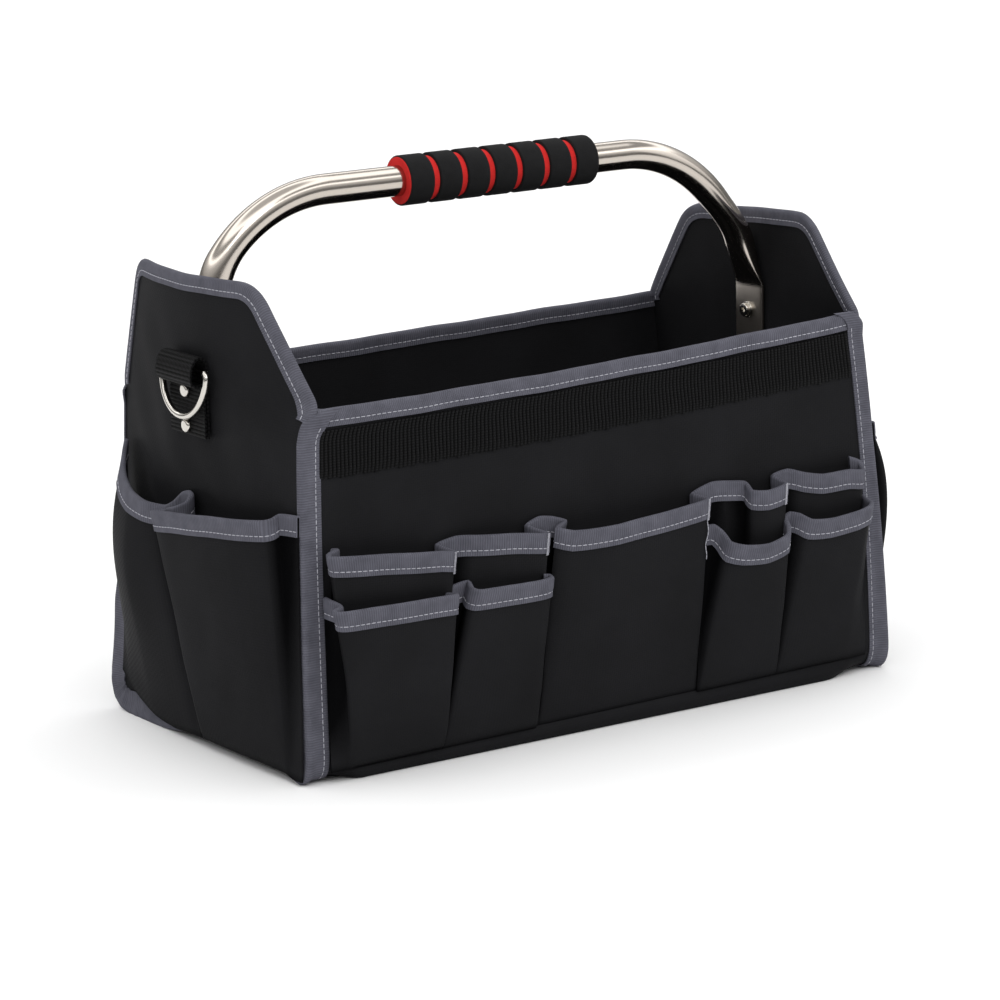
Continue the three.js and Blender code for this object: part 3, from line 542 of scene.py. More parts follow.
def mesh_piece(name, points, faces):
    """A smooth piece from points in millimetres."""
    mesh = bpy.data.meshes.new(name)
    mesh.from_pydata((points * MM).tolist(), [], faces)
    mesh.shade_smooth()
    obj = bpy.data.objects.new(name, mesh)
    bpy.context.scene.collection.objects.link(obj)
    return obj


def cloth_piece(name, parts, material, nodes):
    """A sewn piece whose UV map holds real lengths."""
    points, quads, uv, fold = merged(parts)
    obj = mesh_piece(f"{name}_sewn", points, quads.tolist())
    mesh = obj.data
    corners = np.empty(len(mesh.loops), dtype=np.int32)
    mesh.loops.foreach_get("vertex_index", corners)
    mesh.uv_layers.new(name="cloth").data.foreach_set("uv", (uv * MM)[corners].ravel())
    mesh.attributes.new("fold", "FLOAT", "POINT").data.foreach_set("value", fold)
    mesh.set_sharp_from_angle(angle=SHARP)
    return dress(obj, material, nodes)


def run_length(points):
    """Distance along a row of points, from its start."""
    steps = np.linalg.norm(np.diff(points, axis=0), axis=1)
    return np.concatenate([[0], np.cumsum(steps)])


# Stitches: short capsules of thread laid along a line
CAPSULE = [(0, 0.25), (0.12, 0.85), (0.5, 1), (0.88, 0.85), (1, 0.25)]
CAPSULE_SIDES = 5
# A capsule's five-sided end as a quad and a triangle
CAPSULE_END = np.array([[0, 4, 3, 2], [0, 2, 1, 1]])


def capsules(starts, ends, radius):
    """Closed lengths of thread from starts to ends."""
    along = ends - starts
    along = along / np.linalg.norm(along, axis=1, keepdims=True)
    helper = np.where(np.abs(along[:, 2:3]) < 0.8, [[0, 0, 1.0]], [[1.0, 0, 0]])
    side = np.cross(along, helper)
    side /= np.linalg.norm(side, axis=1, keepdims=True)
    lift = np.cross(along, side)
    rings = []
    for share, width in CAPSULE:
        middle = lerp(starts, ends, share)
        for k in range(CAPSULE_SIDES):
            turn = 2 * math.pi * k / CAPSULE_SIDES
            rings.append(middle + radius * width * (math.cos(turn) * side + math.sin(turn) * lift))
    points = np.stack(rings, axis=1).reshape(-1, 3)
    index = np.arange(len(CAPSULE) * CAPSULE_SIDES).reshape(len(CAPSULE), CAPSULE_SIDES)
    sides = grid_quads(np.concatenate([index, index[:, :1]], axis=1))
    one = np.concatenate([sides[:, ::-1], CAPSULE_END[:, ::-1], CAPSULE_END + index[-1, 0]])
    quads = (one[None] + (np.arange(len(starts)) * index.size)[:, None, None]).reshape(-1, 4)
    return points, quads, np.zeros((len(points), 2)), np.zeros(len(points))


def stitch_line(path):
    """Stitches along a row of points."""
    length = run_length(path)
    count = max(1, int(length[-1] / STITCH_PITCH))
    pitch = length[-1] / count
    begin = pitch * np.arange(count) + (pitch - STITCH_LENGTH) / 2
    at = lambda s: np.stack([np.interp(s, length, path[:, k]) for k in range(3)], axis=1)
    return capsules(at(begin), at(begin + STITCH_LENGTH), STITCH_RADIUS)


def thread_piece(name, parts):
    points, quads, _, _ = merged(parts)
    faces = [list(dict.fromkeys(quad)) for quad in quads.tolist()]
    return dress(mesh_piece(name, points, faces), THREAD)


# Tape folded over an edge: its section runs from the foot of one leg over the edge to the other
LEG_STEPS = 10
FOLD_STEPS = 7
TAPE_WAVER = 0.5


def hairpin(reach, leg, sink=0):
    """Points of the section as offset from the cloth's middle and drop below its edge."""
    drops = np.linspace(leg, 0, LEG_STEPS)
    pull = sink * np.exp(-((drops - (leg - STITCH_INSET)) / STITCH_DENT) ** 2)
    legs = [(reach - p, d) for p, d in zip(pull, drops)]
    turns = np.linspace(0, math.pi, FOLD_STEPS)[1:-1]
    fold = [(reach * math.cos(t), -reach * math.sin(t)) for t in turns]
    return legs + fold + [(-offset, drop) for offset, drop in reversed(legs)]


def bound_edge(name, edge, core, nodes, leg=TAPE_WIDTH):
    """Tape round an edge, and its stitches on both faces.
    edge gives a row of points for an offset and a drop."""
    reach = core + TAPE_SIT
    outer = np.stack([edge(*point) for point in hairpin(reach + TAPE, leg, STITCH_SINK)])
    inner = np.stack([edge(*point) for point in hairpin(reach, leg)])
    along = np.broadcast_to(run_length(outer[LEG_STEPS]), outer.shape[:2])
    for skin in (outer, inner):
        skin[..., 2] += TAPE_WAVER * ripple(along, 0)
    girth = np.broadcast_to(run_length(outer[:, 0])[:, None], outer.shape[:2])
    uv = np.stack([along, girth], axis=-1)
    tape = cloth_piece(name, [closed_sheet(outer, inner, uv)], GROSGRAIN, nodes)
    lift = reach + TAPE - STITCH_SINK + STITCH_RADIUS / 3
    lines = []
    for side in (1, -1):
        line = edge(side * lift, leg - STITCH_INSET)
        line[:, 2] += TAPE_WAVER * ripple(along[0], 0)
        lines.append(stitch_line(line))
    return [tape, thread_piece(f"{name}_stitches", lines)]


# Long walls, their rim tape and the base
WALL_COLUMNS = 150
WALL_ROWS = 60
WALL_RIPPLE = 1.2
WALL_SHARES = np.linspace(0, 1, WALL_COLUMNS)
# Rows lie closer towards the foot
ROW_CROWDING = 1.3


def long_wall(name, face, rim, tuck):
    share = WALL_SHARES[None, :]
    place = on_wall(face)
    top = rim(across(share, FRONT_RIM, 0, face))
    up = np.linspace(0, 1, WALL_ROWS)[:, None]
    z = lerp(WALL_FOOT, top, up ** ROW_CROWDING)
    x = across(share, z, WALL_END_GAP, face)
    calm = np.sin(math.pi * up) * np.sin(math.pi * share) ** 0.5
    wave = WALL_RIPPLE * calm * ripple(x, z) - tuck(share, z)
    uv = np.stack(np.broadcast_arrays(x, z), axis=-1)
    sheet = closed_sheet(place(x, wave, z), place(x, wave - CLOTH, z), uv)
    cloth_piece(name, [sheet], OXFORD, [name])


def rim_tape(name, face, rim):
    def edge(offset, drop):
        z = rim(across(WALL_SHARES, FRONT_RIM, 0, face)) - drop
        x = across(WALL_SHARES, z, WALL_END_GAP, face)
        return on_wall(face)(x, offset - CLOTH / 2, z)
    bound_edge(name, edge, CLOTH / 2, [name], RIM_LEG)


# The base's front and back edges at its top and its underside, tucked in at the foot
BASE_EDGES = {BASE_THICK: (-111.5, 95.5), 0: (-104, 91)}
BASE_CORNER_TUCK = 6.6
BASE_TURN_UP = 30
BASE_LAP = 0.3
BASE_ROWS, BASE_COLUMNS = 100, 60


def base_panel():
    share = np.linspace(0, 1, BASE_COLUMNS)
    along = np.linspace(0, 1, BASE_ROWS)[:, None]
    skins = []
    for z, (front, back) in BASE_EDGES.items():
        y = lerp(front + BASE_CORNER_TUCK * near_corner(along), back, share)
        left, right = (end_face(end, y, 0.0) - CLOTH + BASE_LAP for end in ENDS)
        turn_up = ease(np.minimum(along, 1 - along) * WALL_LENGTH, BASE_TURN_UP, 0)
        skins.append(points_at(lerp(-left, right, along), y, z + turn_up * end_lift(y)))
    sheet = closed_sheet(*skins, skins[0][..., :2])
    cloth_piece("base_panel", [sheet, foot_band()], OXFORD, ["base_panel"])


# The base cloth turned up over the foot of the front wall: its bulge and the part of an arch that it follows
BAND_BULGE, BAND_ARCH = 4, (0.12, 0.92)
BAND_THICK = 0.9
BAND_OUT = 0.6
BAND_FOOT, BAND_LAP = 0.4, 0.6
BAND_INSET = 10
BAND_TAPER = 0.05
BAND_COLUMNS, BAND_ROWS = 120, 9


def foot_band():
    share = np.linspace(0, 1, BAND_COLUMNS)[None, :]
    up = np.linspace(0, 1, BAND_ROWS)[:, None]
    top = front_foot(across(share, 0, 0)) + BAND_LAP
    z = lerp(lerp(BAND_FOOT, WALL_FOOT, near_corner(share)), top, up)
    x = across(share, z, BAND_INSET)
    ends = ramp(np.minimum(share, 1 - share), 0, BAND_TAPER)
    bulge = BAND_BULGE * ends * np.sin(math.pi * lerp(*BAND_ARCH, up)) ** 0.6
    out = BAND_OUT * ends - BAND_THICK + bulge - front_tuck(share, z)
    uv = np.stack(np.broadcast_arrays(x, z), axis=-1)
    place = on_wall(FRONT)
    return closed_sheet(place(x, out + BAND_THICK, z), place(x, out, z), uv)


long_wall("front_panel", FRONT, front_rim, front_tuck)
long_wall("back_panel", BACK, back_rim, back_tuck)
rim_tape("front_top_binding", FRONT, front_rim)
rim_tape("back_top_binding", BACK, back_rim)
base_panel()


# Ribbed band under the front rim: upright ribs whose lower ends are a little uneven
RIB_SAMPLES = 6
RIB_RELIEF = 0.8
RIB_UNEVEN, RIB_PACES = 0.4, (2.1, 0.83)
# How far the band goes under the rim tape and the corner tape, and stands off the wall inside and out
WEBBING_LAP, WEBBING_END_LAP = 1.5, 1
WEBBING_BACK, WEBBING_FACE = 0.3, 0.4
# Its foot strays sideways, and is thinner over the lowest share of its height
WEBBING_STRAY, STRAY_TURNS = 0.8, 41
FRAY, FRAY_THIN = 0.12, 0.35
WEBBING_ROWS = 14


def front_webbing():
    width = across(1, FRONT_RIM, SEAM_TAPE_FRONT) - across(0, FRONT_RIM, SEAM_TAPE_FRONT)
    ribs = round(width / WEBBING_RIB)
    share = np.linspace(0, 1, ribs * RIB_SAMPLES + 1)[None, :]
    up = np.linspace(0, 1, WEBBING_ROWS)[:, None]
    top = front_rim(across(share, FRONT_RIM, 0)) - TAPE_WIDTH + WEBBING_LAP
    number = np.floor(share * ribs)
    uneven = RIB_UNEVEN * sum(np.sin(number * pace) for pace in RIB_PACES)
    z = lerp(top - WEBBING_HEIGHT - WEBBING_LAP + uneven, top, up)
    stray = WEBBING_STRAY * (1 - up) ** 2 * np.sin(share * STRAY_TURNS)
    x = across(share, z, SEAM_TAPE_FRONT - WEBBING_END_LAP) + stray
    rib = np.abs(np.sin(math.pi * ribs * share)) ** 0.7
    thin = np.clip(up / FRAY, FRAY_THIN, 1)
    out = WEBBING_FACE + (WEBBING_THICK - RIB_RELIEF * (1 - rib)) * thin
    uv = np.stack(np.broadcast_arrays(share * ribs * WEBBING_RIB, z), axis=-1)
    place = on_wall(FRONT)
    sheet = closed_sheet(place(x, out, z), place(x, WEBBING_BACK, z), uv)
    cloth_piece("front_webbing", [sheet], WEBBING, ["front_webbing"])


front_webbing()


# A smooth curve through rows of points, given for many levels at once
FOLD_SOFTNESS = 0.6


def smooth_path(points, counts):
    """Points along a centripetal curve, with counts of them between each pair of its stops."""
    start = 2 * points[:, :1] - points[:, 1:2]
    stop = 2 * points[:, -1:] - points[:, -2:-1]
    control = np.concatenate([start, points, stop], axis=1)
    gaps = np.linalg.norm(np.diff(control[..., :2], axis=1), axis=-1)
    spans = np.cumsum(np.sqrt(gaps + 1e-6), axis=1)
    knots = np.concatenate([np.zeros((len(points), 1)), spans], axis=1)
    pieces = []
    last = points.shape[1] - 2
    for i, count in enumerate(counts):
        p = [control[:, i + k, None] for k in range(4)]
        t = [knots[:, i + k, None, None] for k in range(4)]
        shares = np.linspace(0, 1, count + 1)
        shares = shares if i == last else shares[:-1]
        s = lerp(t[1], t[2], shares[None, :, None])
        mix = lambda a, b, t0, t1: a * (t1 - s) / (t1 - t0) + b * (s - t0) / (t1 - t0)
        a = [mix(p[k], p[k + 1], t[k], t[k + 1]) for k in range(3)]
        b = [mix(a[k], a[k + 1], t[k], t[k + 2]) for k in range(2)]
        pieces.append(lerp(a[1], mix(b[0], b[1], t[1], t[2]), FOLD_SOFTNESS))
    return np.concatenate(pieces, axis=1)


# Pleated strips
STRIP_STEP, STRIP_LEAST = 2.2, 4
STRIP_LEVELS = 34
STRIP_RIPPLE = 0.5
RIPPLE_RISE, WEAVE_RISE = 140, 130
# The cloth ends a little below the fold of its tape
EDGE_DROP = 0.4
# Stretches of Y over which the front and back of an end pocket swell, and how far out the cloth must stand
FRONT_SWELL, BACK_SWELL, SWELL_OUT = (20, -60), (20, 60), (4, 10)
SWELL_LOW = 1.9
# Painted shade in the cloth: a fold counts as deep when cloth within reach stands this far in front of it
FOLD_REACH, FOLD_SLOPE, FOLD_DEEP = 22, 0.35, 6
# Painted shade along the pockets' foot: the height that it reaches and its strength
FOOT_SHADE, FOOT_DARK = 4, 0.9


class Strip:
    """A pleated strip of cloth on a wall, with its path at any height."""

    def __init__(self, table, place, foot_of, swell=(0, 0)):
        self.place = place
        self.along, self.out, self.top, self.foot = np.array(table["rows"], dtype=float).T
        front, back = swell
        swells = front * ramp(self.along, *FRONT_SWELL) + back * ramp(self.along, *BACK_SWELL)
        self.swell = swells * ramp(self.out, *SWELL_OUT)
        self.foot_out = table["foot_out"]
        self.foot_z = foot_of(self.foot)
        rim = np.stack([self.along, self.out], axis=1)
        steps = np.linalg.norm(np.diff(rim, axis=0), axis=1)
        self.counts = [max(STRIP_LEAST, round(step / STRIP_STEP)) for step in steps]
        edge = self.path(self.top[None, :])[0]
        self.length = run_length(edge[:, :2])

    def path(self, z):
        """Along, out and height of each column, for rows of heights given for each fold."""
        share = ramp(z, self.foot_z, self.top)
        along = lerp(self.foot, self.along, share ** PLEAT_CLOSE)
        swell = self.swell * np.sin(math.pi * share ** SWELL_LOW)
        out = lerp(self.foot_out, self.out, share ** BILLOW) + swell
        return smooth_path(np.stack([along, out, z], axis=-1), self.counts)

    def points(self, z, offset):
        """Points of the cloth's middle, moved sideways by offset."""
        along, out, height = np.moveaxis(self.path(z), -1, 0)
        run, rise = np.gradient(along, axis=1), np.gradient(out, axis=1)
        size = np.hypot(run, rise)
        return self.place(along - offset * rise / size, out + offset * run / size, height)

    def cloth(self):
        share = np.linspace(0, 1, STRIP_LEVELS)[:, None]
        z = lerp(self.foot_z, self.top - EDGE_DROP, share)
        calm = np.sin(math.pi * share) ** 0.7
        wave = STRIP_RIPPLE * calm * ripple(self.length[None, :], RIPPLE_RISE * share)
        uv = np.stack(np.broadcast_arrays(self.length[None, :], WEAVE_RISE * share), axis=-1)
        outer, inner = (self.points(z, wave + side * POCKET_CLOTH / 2) for side in (1, -1))
        return closed_sheet(outer, inner, uv, self.depth(z))

    def depth(self, z):
        """Painted shade of each point, from 0 to 1: behind the folds beside it and near the foot."""
        along, out, _ = np.moveaxis(self.path(z), -1, 0)
        apart = np.abs(along[:, :, None] - along[:, None, :])
        cover = np.where(apart < FOLD_REACH, out[:, None, :] - FOLD_SLOPE * apart, 0)
        behind = ramp(cover.max(axis=2) - out, 0, FOLD_DEEP)
        above = np.linspace(0, np.mean(self.top - self.foot_z), len(z))[:, None]
        return np.maximum(behind, FOOT_DARK * ramp(above, FOOT_SHADE, 0))

    def edge(self, offset, drop):
        return self.points((self.top - EDGE_DROP - drop)[None, :], offset)[0]

    def cut_size(self):
        """Width along the rim, mean height and area of the cut cloth, in metres. It narrows to the foot."""
        share = np.linspace(0, 1, STRIP_LEVELS)[:, None]
        paths = self.path(lerp(self.foot_z, self.top, share))
        lengths = np.linalg.norm(np.diff(paths[..., :2], axis=1), axis=-1).sum(axis=1) * MM
        height = np.mean(self.top - self.foot_z) * MM
        return lengths.max(), height, lengths.mean() * height


FRONT_STRIPS = {
    "front_pocket_strip": (UPPER_STRIP, "front_strip_binding"),
    "front_pocket_lower_left": (LOWER_LEFT_STRIP, "lower_left_binding"),
    "front_pocket_lower_right": (LOWER_RIGHT_STRIP, "lower_right_binding"),
}


def pocket(name, strip, tape):
    cloth = cloth_piece(name, [strip.cloth()], OXFORD, [name])
    binding = bound_edge(tape, strip.edge, POCKET_CLOTH / 2, [tape])
    width, height, area = strip.cut_size()


# Bar tacks: close cross stitches that hold the upper strip's folds, given by its rows
TACKED_ROWS = [7, 12, 21, 28]
TACK_DROPS = np.arange(-1, 12, 0.8)
TACK_WIDTH = 2.6
TACK_LIFT = 0.1
# The loose end of thread that hangs from one of them
THREAD_ROW = 21
THREAD_DROPS = np.arange(10, 38, 3)
THREAD_SWAY, THREAD_CURL = 0.8, 0.4


def bar_tacks(strip):
    reach = POCKET_CLOTH / 2 + TAPE_SIT + TAPE + TACK_LIFT
    starts, ends = [], []
    for drop in TACK_DROPS:
        line = strip.edge(reach, drop)
        for row in TACKED_ROWS:
            column = sum(strip.counts[:row]) - 1
            ahead = line[column + 1] - line[column - 1]
            ahead *= TACK_WIDTH / 2 / np.linalg.norm(ahead)
            starts.append(line[column] - ahead)
            ends.append(line[column] + ahead)
    column = sum(strip.counts[:THREAD_ROW]) - 1
    loose = np.array([strip.edge(reach, drop)[column] for drop in THREAD_DROPS])
    loose[:, 0] += THREAD_SWAY * np.sin(THREAD_DROPS * THREAD_CURL)
    tacks = capsules(np.array(starts), np.array(ends), STITCH_RADIUS)
    thread_piece("bar_tacks", [tacks, capsules(loose[:-1], loose[1:], STITCH_RADIUS)])


for strip_name, (rows, tape_name) in FRONT_STRIPS.items():
    pocket(strip_name, Strip(rows, on_wall(FRONT), front_foot), tape_name)
bar_tacks(Strip(UPPER_STRIP, on_wall(FRONT), front_foot))
for end in ENDS:
    side = end["name"]
    strip = Strip(END_STRIP, on_end(end), end_foot, end["swell"])
    pocket(f"end_pocket_{side}", strip, f"end_pocket_binding_{side}")


# End panels, the tape on their top edges and round their corners
OUTLINE_STEP = 2
ARC = np.linspace(0, 1, 9)
END_ROWS = 56
END_RIPPLE = 1.8


def rounded_line(stops, rounds):
    """A line through stops in Y and Z, evenly spaced, with its inner stops rounded.
    A rounding may have a reach before its stop and another after it."""
    stops = [np.array(stop, dtype=float) for stop in stops]
    line = [stops[0]]
    for before, stop, after, rounding in zip(stops, stops[1:], stops[2:], rounds):
        near, far = (stop + (other - stop) * reach / np.linalg.norm(other - stop)
                     for other, reach in zip((before, after), np.broadcast_to(rounding, 2)))
        line.extend(lerp(lerp(near, stop, t), lerp(stop, far, t), t) for t in ARC)
    line = np.array(line + [stops[-1]])
    length = run_length(line)
    even = np.linspace(0, length[-1], round(length[-1] / OUTLINE_STEP))
    return np.stack([np.interp(even, length, line[:, k]) for k in range(2)], axis=1)


def rim_stops(end):
    """Corners of the panel's top edge in Y and Z, from front to back."""
    front_top = front_rim(end["sign"] * corner_x(end, FRONT_RIM))
    back_top = back_rim(end["sign"] * corner_x(end, BACK_RIM, BACK))
    return [(-half_depth(front_top), front_top), *end["corners"], (half_depth(back_top), back_top)]


def end_panel(end):
    name = f"end_panel_{end['name']}"
    outline = rounded_line(rim_stops(end), [RIM_ROUND, RIM_ROUND])
    top = outline[:, 1][None, :]
    up = np.linspace(0, 1, END_ROWS)[:, None]
    aside = outline[:, 0][None, :] / half_depth(top)
    z = lerp(WALL_FOOT + end_lift(aside * BASE_HALF_DEPTH), top, up ** ROW_CROWDING)
    tuck = np.where(aside < 0, foot_tuck(z, FRONT_FOOT_ROUND), foot_tuck(z, BACK_FOOT_ROUND))
    y = aside * (half_depth(z) - tuck)
    calm = np.sin(math.pi * up) * np.clip(1 - aside ** 2, 0, 1) ** 0.5
    wave = END_RIPPLE * calm * ripple(y, z)
    place = on_end(end)
    uv = np.stack([y, z], axis=-1)
    sheet = closed_sheet(place(y, wave, z), place(y, wave - CLOTH, z), uv)
    cloth_piece(name, [sheet], OXFORD, [name])


# The tape's ends turn down under the corner tape
TAIL = 4
TAIL_INSET = 2
TAIL_STEP = 1
TAIL_ROUND = 3


def end_rim_tape(end):
    (y0, z0), *corners, (y1, z1) = rim_stops(end)
    stops = [(y0 + TAIL_INSET, z0 - TAIL), (y0 + TAIL_STEP, z0 + TAIL_STEP), *corners,
             (y1 - TAIL_STEP, z1 + TAIL_STEP), (y1 - TAIL_INSET, z1 - TAIL)]
    outline = rounded_line(stops, [TAIL_ROUND, RIM_ROUND, RIM_ROUND, TAIL_ROUND])
    ahead = np.gradient(outline, axis=0)
    ahead /= np.linalg.norm(ahead, axis=1, keepdims=True)
    upward = np.stack([-ahead[:, 1], ahead[:, 0]], axis=1)
    place = on_end(end)

    def edge(offset, drop):
        y, z = (outline - upward * drop).T
        return place(y, offset - CLOTH / 2, z)
    name = f"end_top_binding_{end['name']}"
    bound_edge(name, edge, CLOTH / 2, [name], END_RIM_LEG)


# Tape round each end panel's upright and bottom seams, turned in at its two tops
TOP_TUCK, TOP_TURN, TOP_LEAN = 10, 0.95, 0.3
TOP_LIFT, TOP_LIFT_REACH = 1.2, (16, 8)
SEAM_LOW, SEAM_INSET, SEAM_TOP = 2.4, 0.5, 3
SEAM_STITCH_COLUMN, SEAM_STITCH_END = 2, 5
SEAM_GIRTH_ROW = 20
WALL_LEG_ROWS = 6
PANEL_LEG_SHARES = (0.33, 0.67, 1)
# Where along Y the seam counts as the back one, and the heights where its tape gets wide and lies snug
SEAM_BACK, WIDE_TAPE, SNUG_TAPE = (-40, 40), (130, 70), (50, 140)
SNUG_ROUND, SNUG_ROLL = 1.5, 0.3
# Gathers of the tape round the back foot corners: height, spacing, middle and reach
GATHER, GATHER_PITCH, GATHER_MIDDLE, GATHER_REACH = 1.1, 9, (95, 12), 28


def seam_section(end, path, reach):
    """Points round the seam at each place along its path, from the wall to the end panel."""
    ahead = np.gradient(path, axis=0)
    ahead /= np.linalg.norm(ahead, axis=1, keepdims=True)
    away = np.stack([ahead[:, 1], -ahead[:, 0]], axis=1)
    edge = end_face(end, path[:, 0], path[:, 1])
    length = run_length(path)
    from_top = np.minimum(length, length[-1] - length)
    lift = reach + TOP_LIFT * ramp(from_top, *TOP_LIFT_REACH)
    height = path[:, 1:]
    back = ramp(path[:, :1], *SEAM_BACK)
    low = back * ramp(height, *WIDE_TAPE)
    snug = back - low + (1 - back) * end["snug"] * ramp(height, *SNUG_TAPE)
    corner = lerp(CORNER_ROUND, SNUG_ROUND, snug)
    end_leg = corner + lerp(SEAM_TAPE_END - CORNER_ROUND, BACK_TAPE_END - CORNER_ROUND, low)
    front_roll = lerp(CORNER_ROLL, end["foot_roll"], ramp(height, end["roll_top"], 0))
    roll = lift + lerp(lerp(front_roll, BACK_ROLL, low), SNUG_ROLL, snug)[:, 0]

    def at(x, offset):
        y, z = (path + away * np.reshape(offset, (-1, 1))).T
        return points_at(end["sign"] * x, y, z)

    close = ramp(np.linalg.norm(path - GATHER_MIDDLE, axis=1), GATHER_REACH, 0)
    gather = GATHER * close * np.sin(2 * math.pi * length / GATHER_PITCH)

    def on_panel(depth):
        y, z = (path - away * depth).T
        return points_at(end["sign"] * (end_face(end, y, z) + lift + gather), y, z)
    rows = [at(edge - depth, lift) for depth in np.linspace(end["front_leg"], CORNER_ROUND, WALL_LEG_ROWS)]
    start, tip, stop = rows[-1], at(edge + roll, roll), on_panel(corner)
    rows += [lerp(lerp(start, tip, t), lerp(tip, stop, t), t) for t in ARC[1:-1]]
    rows += [on_panel(lerp(corner, end_leg, share)) for share in PANEL_LEG_SHARES]
    points = np.stack(rows, axis=1)
    bend = TOP_TUCK * (1 - np.sqrt(1 - TOP_TURN * ramp(from_top, TOP_TUCK, 0) ** 2))[:, None]
    points[..., 0] -= end["sign"] * bend
    points[..., 1] -= TOP_LEAN * np.sign(path[:, :1]) * bend
    points[..., 2] = np.maximum(points[..., 2], FLOOR_GAP + TAPE_SIT + TAPE - reach)
    return points


def seam_tape(end):
    name = f"seam_binding_{end['name']}"
    (y0, z0), *_, (y1, z1) = rim_stops(end)
    foot = BASE_HALF_DEPTH - SEAM_INSET
    stops = [(y0, z0 + SEAM_TOP), (-foot, SEAM_LOW), (foot, SEAM_LOW), (y1, z1)]
    path = rounded_line(stops, [FRONT_FOOT_ROUND, BACK_FOOT_ROUND])
    path[:, 1] += end_lift(path[:, 0])
    skins = [seam_section(end, path, reach) for reach in (TAPE_SIT + TAPE, TAPE_SIT)]
    along = np.broadcast_to(run_length(path)[:, None], skins[0].shape[:2])
    girth = np.broadcast_to(run_length(skins[0][SEAM_GIRTH_ROW]), skins[0].shape[:2])
    sheet = closed_sheet(*skins, np.stack([along, girth], axis=-1))
    cloth_piece(name, [sheet], GROSGRAIN, [name])
    stitched = skins[0][SEAM_STITCH_END:-SEAM_STITCH_END, SEAM_STITCH_COLUMN]
    thread_piece(f"{name}_stitches", [stitch_line(stitched)])


for end in ENDS:
    end_panel(end)
    end_rim_tape(end)
    seam_tape(end)


# Straps that hold the D-rings: doubled webbing with a slack loop at the top
STRAP_STEPS = 8
STRAP_COLUMNS = 16


def ring_strap(end):
    name = f"ring_strap_{end['name']}"
    loop = [(RING_BAR_Z + rise, out) for rise, out in STRAP_LOOP]
    path = [(STRAP_FOOT, STRAP_INNER), (STRAP_MIDDLE, STRAP_INNER), *loop,
            (RING_BAR_Z - LOOP_NECK, STRAP_OUTER), (STRAP_MIDDLE, STRAP_OUTER), (STRAP_FOOT, STRAP_OUTER)]
    line = smooth_path(np.array(path, dtype=float)[None], [STRAP_STEPS] * (len(path) - 1))[0]
    length = run_length(line)
    ribs = round(length[-1] / STRAP_RIB)
    even = np.linspace(0, length[-1], ribs * RIB_SAMPLES + 1)
    line = np.stack([np.interp(even, length, line[:, k]) for k in range(2)], axis=1)
    rib = STRAP_RELIEF * np.abs(np.sin(math.pi * ribs * even / length[-1]))[:, None]
    ahead = np.gradient(line, axis=0)
    ahead /= np.linalg.norm(ahead, axis=1, keepdims=True)
    side = np.stack([-ahead[:, 1], ahead[:, 0]], axis=1)
    y = HANDLE_Y + np.linspace(-1, 1, STRAP_COLUMNS)[None, :] * STRAP_HALF_WIDTH
    half = STRAP_THICK / 2 - STRAP_RELIEF + rib
    skins = []
    for way in (1, -1):
        z, out = (line + side * half * way).T[:, :, None]
        skins.append(points_at(end["sign"] * (END_MIDDLE + out), y, z))
    uv = np.stack(np.broadcast_arrays(even[:, None], y), axis=-1)
    strap = cloth_piece(name, [closed_sheet(*skins, uv)], WEBBING, [name])


for end in ENDS:
    ring_strap(end)


# Hard pieces, modelled with Blender's own tools
def fresh():
    bpy.ops.object.select_all(action="DESELECT")


def editing():
    bpy.ops.object.mode_set(mode="EDIT")


def settle():
    """Puts the active object's place into its mesh."""
    bpy.ops.object.transform_apply(location=True, rotation=True, scale=True)


def done(name):
    """Leaves edit mode, settles the active object and names it."""
    if bpy.context.mode != "OBJECT":
        bpy.ops.object.mode_set(mode="OBJECT")
    settle()
    obj = bpy.context.object
    obj.name = obj.data.name = name
    return obj


def pick(kind, test):
    """Selects only the faces or edges of the mesh being edited that pass a test."""
    bpy.ops.mesh.select_all(action="DESELECT")
    bpy.ops.mesh.select_mode(type="FACE" if kind == "faces" else "EDGE")
    shape = bmesh.from_edit_mesh(bpy.context.object.data)
    for element in getattr(shape, kind):
        if test(element):
            element.select_set(True)
    bmesh.update_edit_mesh(bpy.context.object.data)


def smooth(obj, degrees=40):
    fresh()
    obj.select_set(True)
    bpy.context.view_layer.objects.active = obj
    bpy.ops.object.shade_smooth_by_angle(angle=math.radians(degrees))


def place_mm(x, y, z):
    return Vector((x, y, z)) * MM


# Turns that lay a circle's or a cylinder's axis along X or Y, and how near, in metres, counts as touching
ALONG_X, ALONG_Y = (0, math.pi / 2, 0), (math.pi / 2, 0, 0)
TOUCH = 1e-6


def wire_start(radius, sides, place, turn):
    """A circle to be drawn along a wire, all of it selected for editing."""
    fresh()
    bpy.ops.mesh.primitive_circle_add(
        vertices=sides, radius=radius * MM, fill_type="NOTHING", location=place, rotation=turn)
    settle()
    editing()
    bpy.ops.mesh.select_all(action="SELECT")


def cylinder_start(radius, length, sides, x, z):
    """A cylinder along X in the handle's plane, being edited."""
    fresh()
    bpy.ops.mesh.primitive_cylinder_add(
        vertices=sides, radius=radius * MM, depth=length * MM,
        location=place_mm(x, HANDLE_Y, z), rotation=ALONG_X)
    settle()
    editing()


def other_half(obj, axis, merge, weld=0):
    """Mirrors a piece, joins its halves and turns its faces outwards."""
    mirror = obj.modifiers.new("other half", "MIRROR")
    mirror.use_axis = [way == axis for way in "XYZ"]
    mirror.merge_threshold = merge * MM
    bpy.ops.object.modifier_apply(modifier=mirror.name)
    editing()
    bpy.ops.mesh.select_all(action="SELECT")
    if weld:
        bpy.ops.mesh.remove_doubles(threshold=weld * MM)
    bpy.ops.mesh.normals_make_consistent(inside=False)
    return done(obj.name)


# Handle tube: a round section drawn along the grip, turned down and run into the bag
TUBE_SIDES = 56
BEND_STEPS = 48
LEG_EXTRUDES = 27
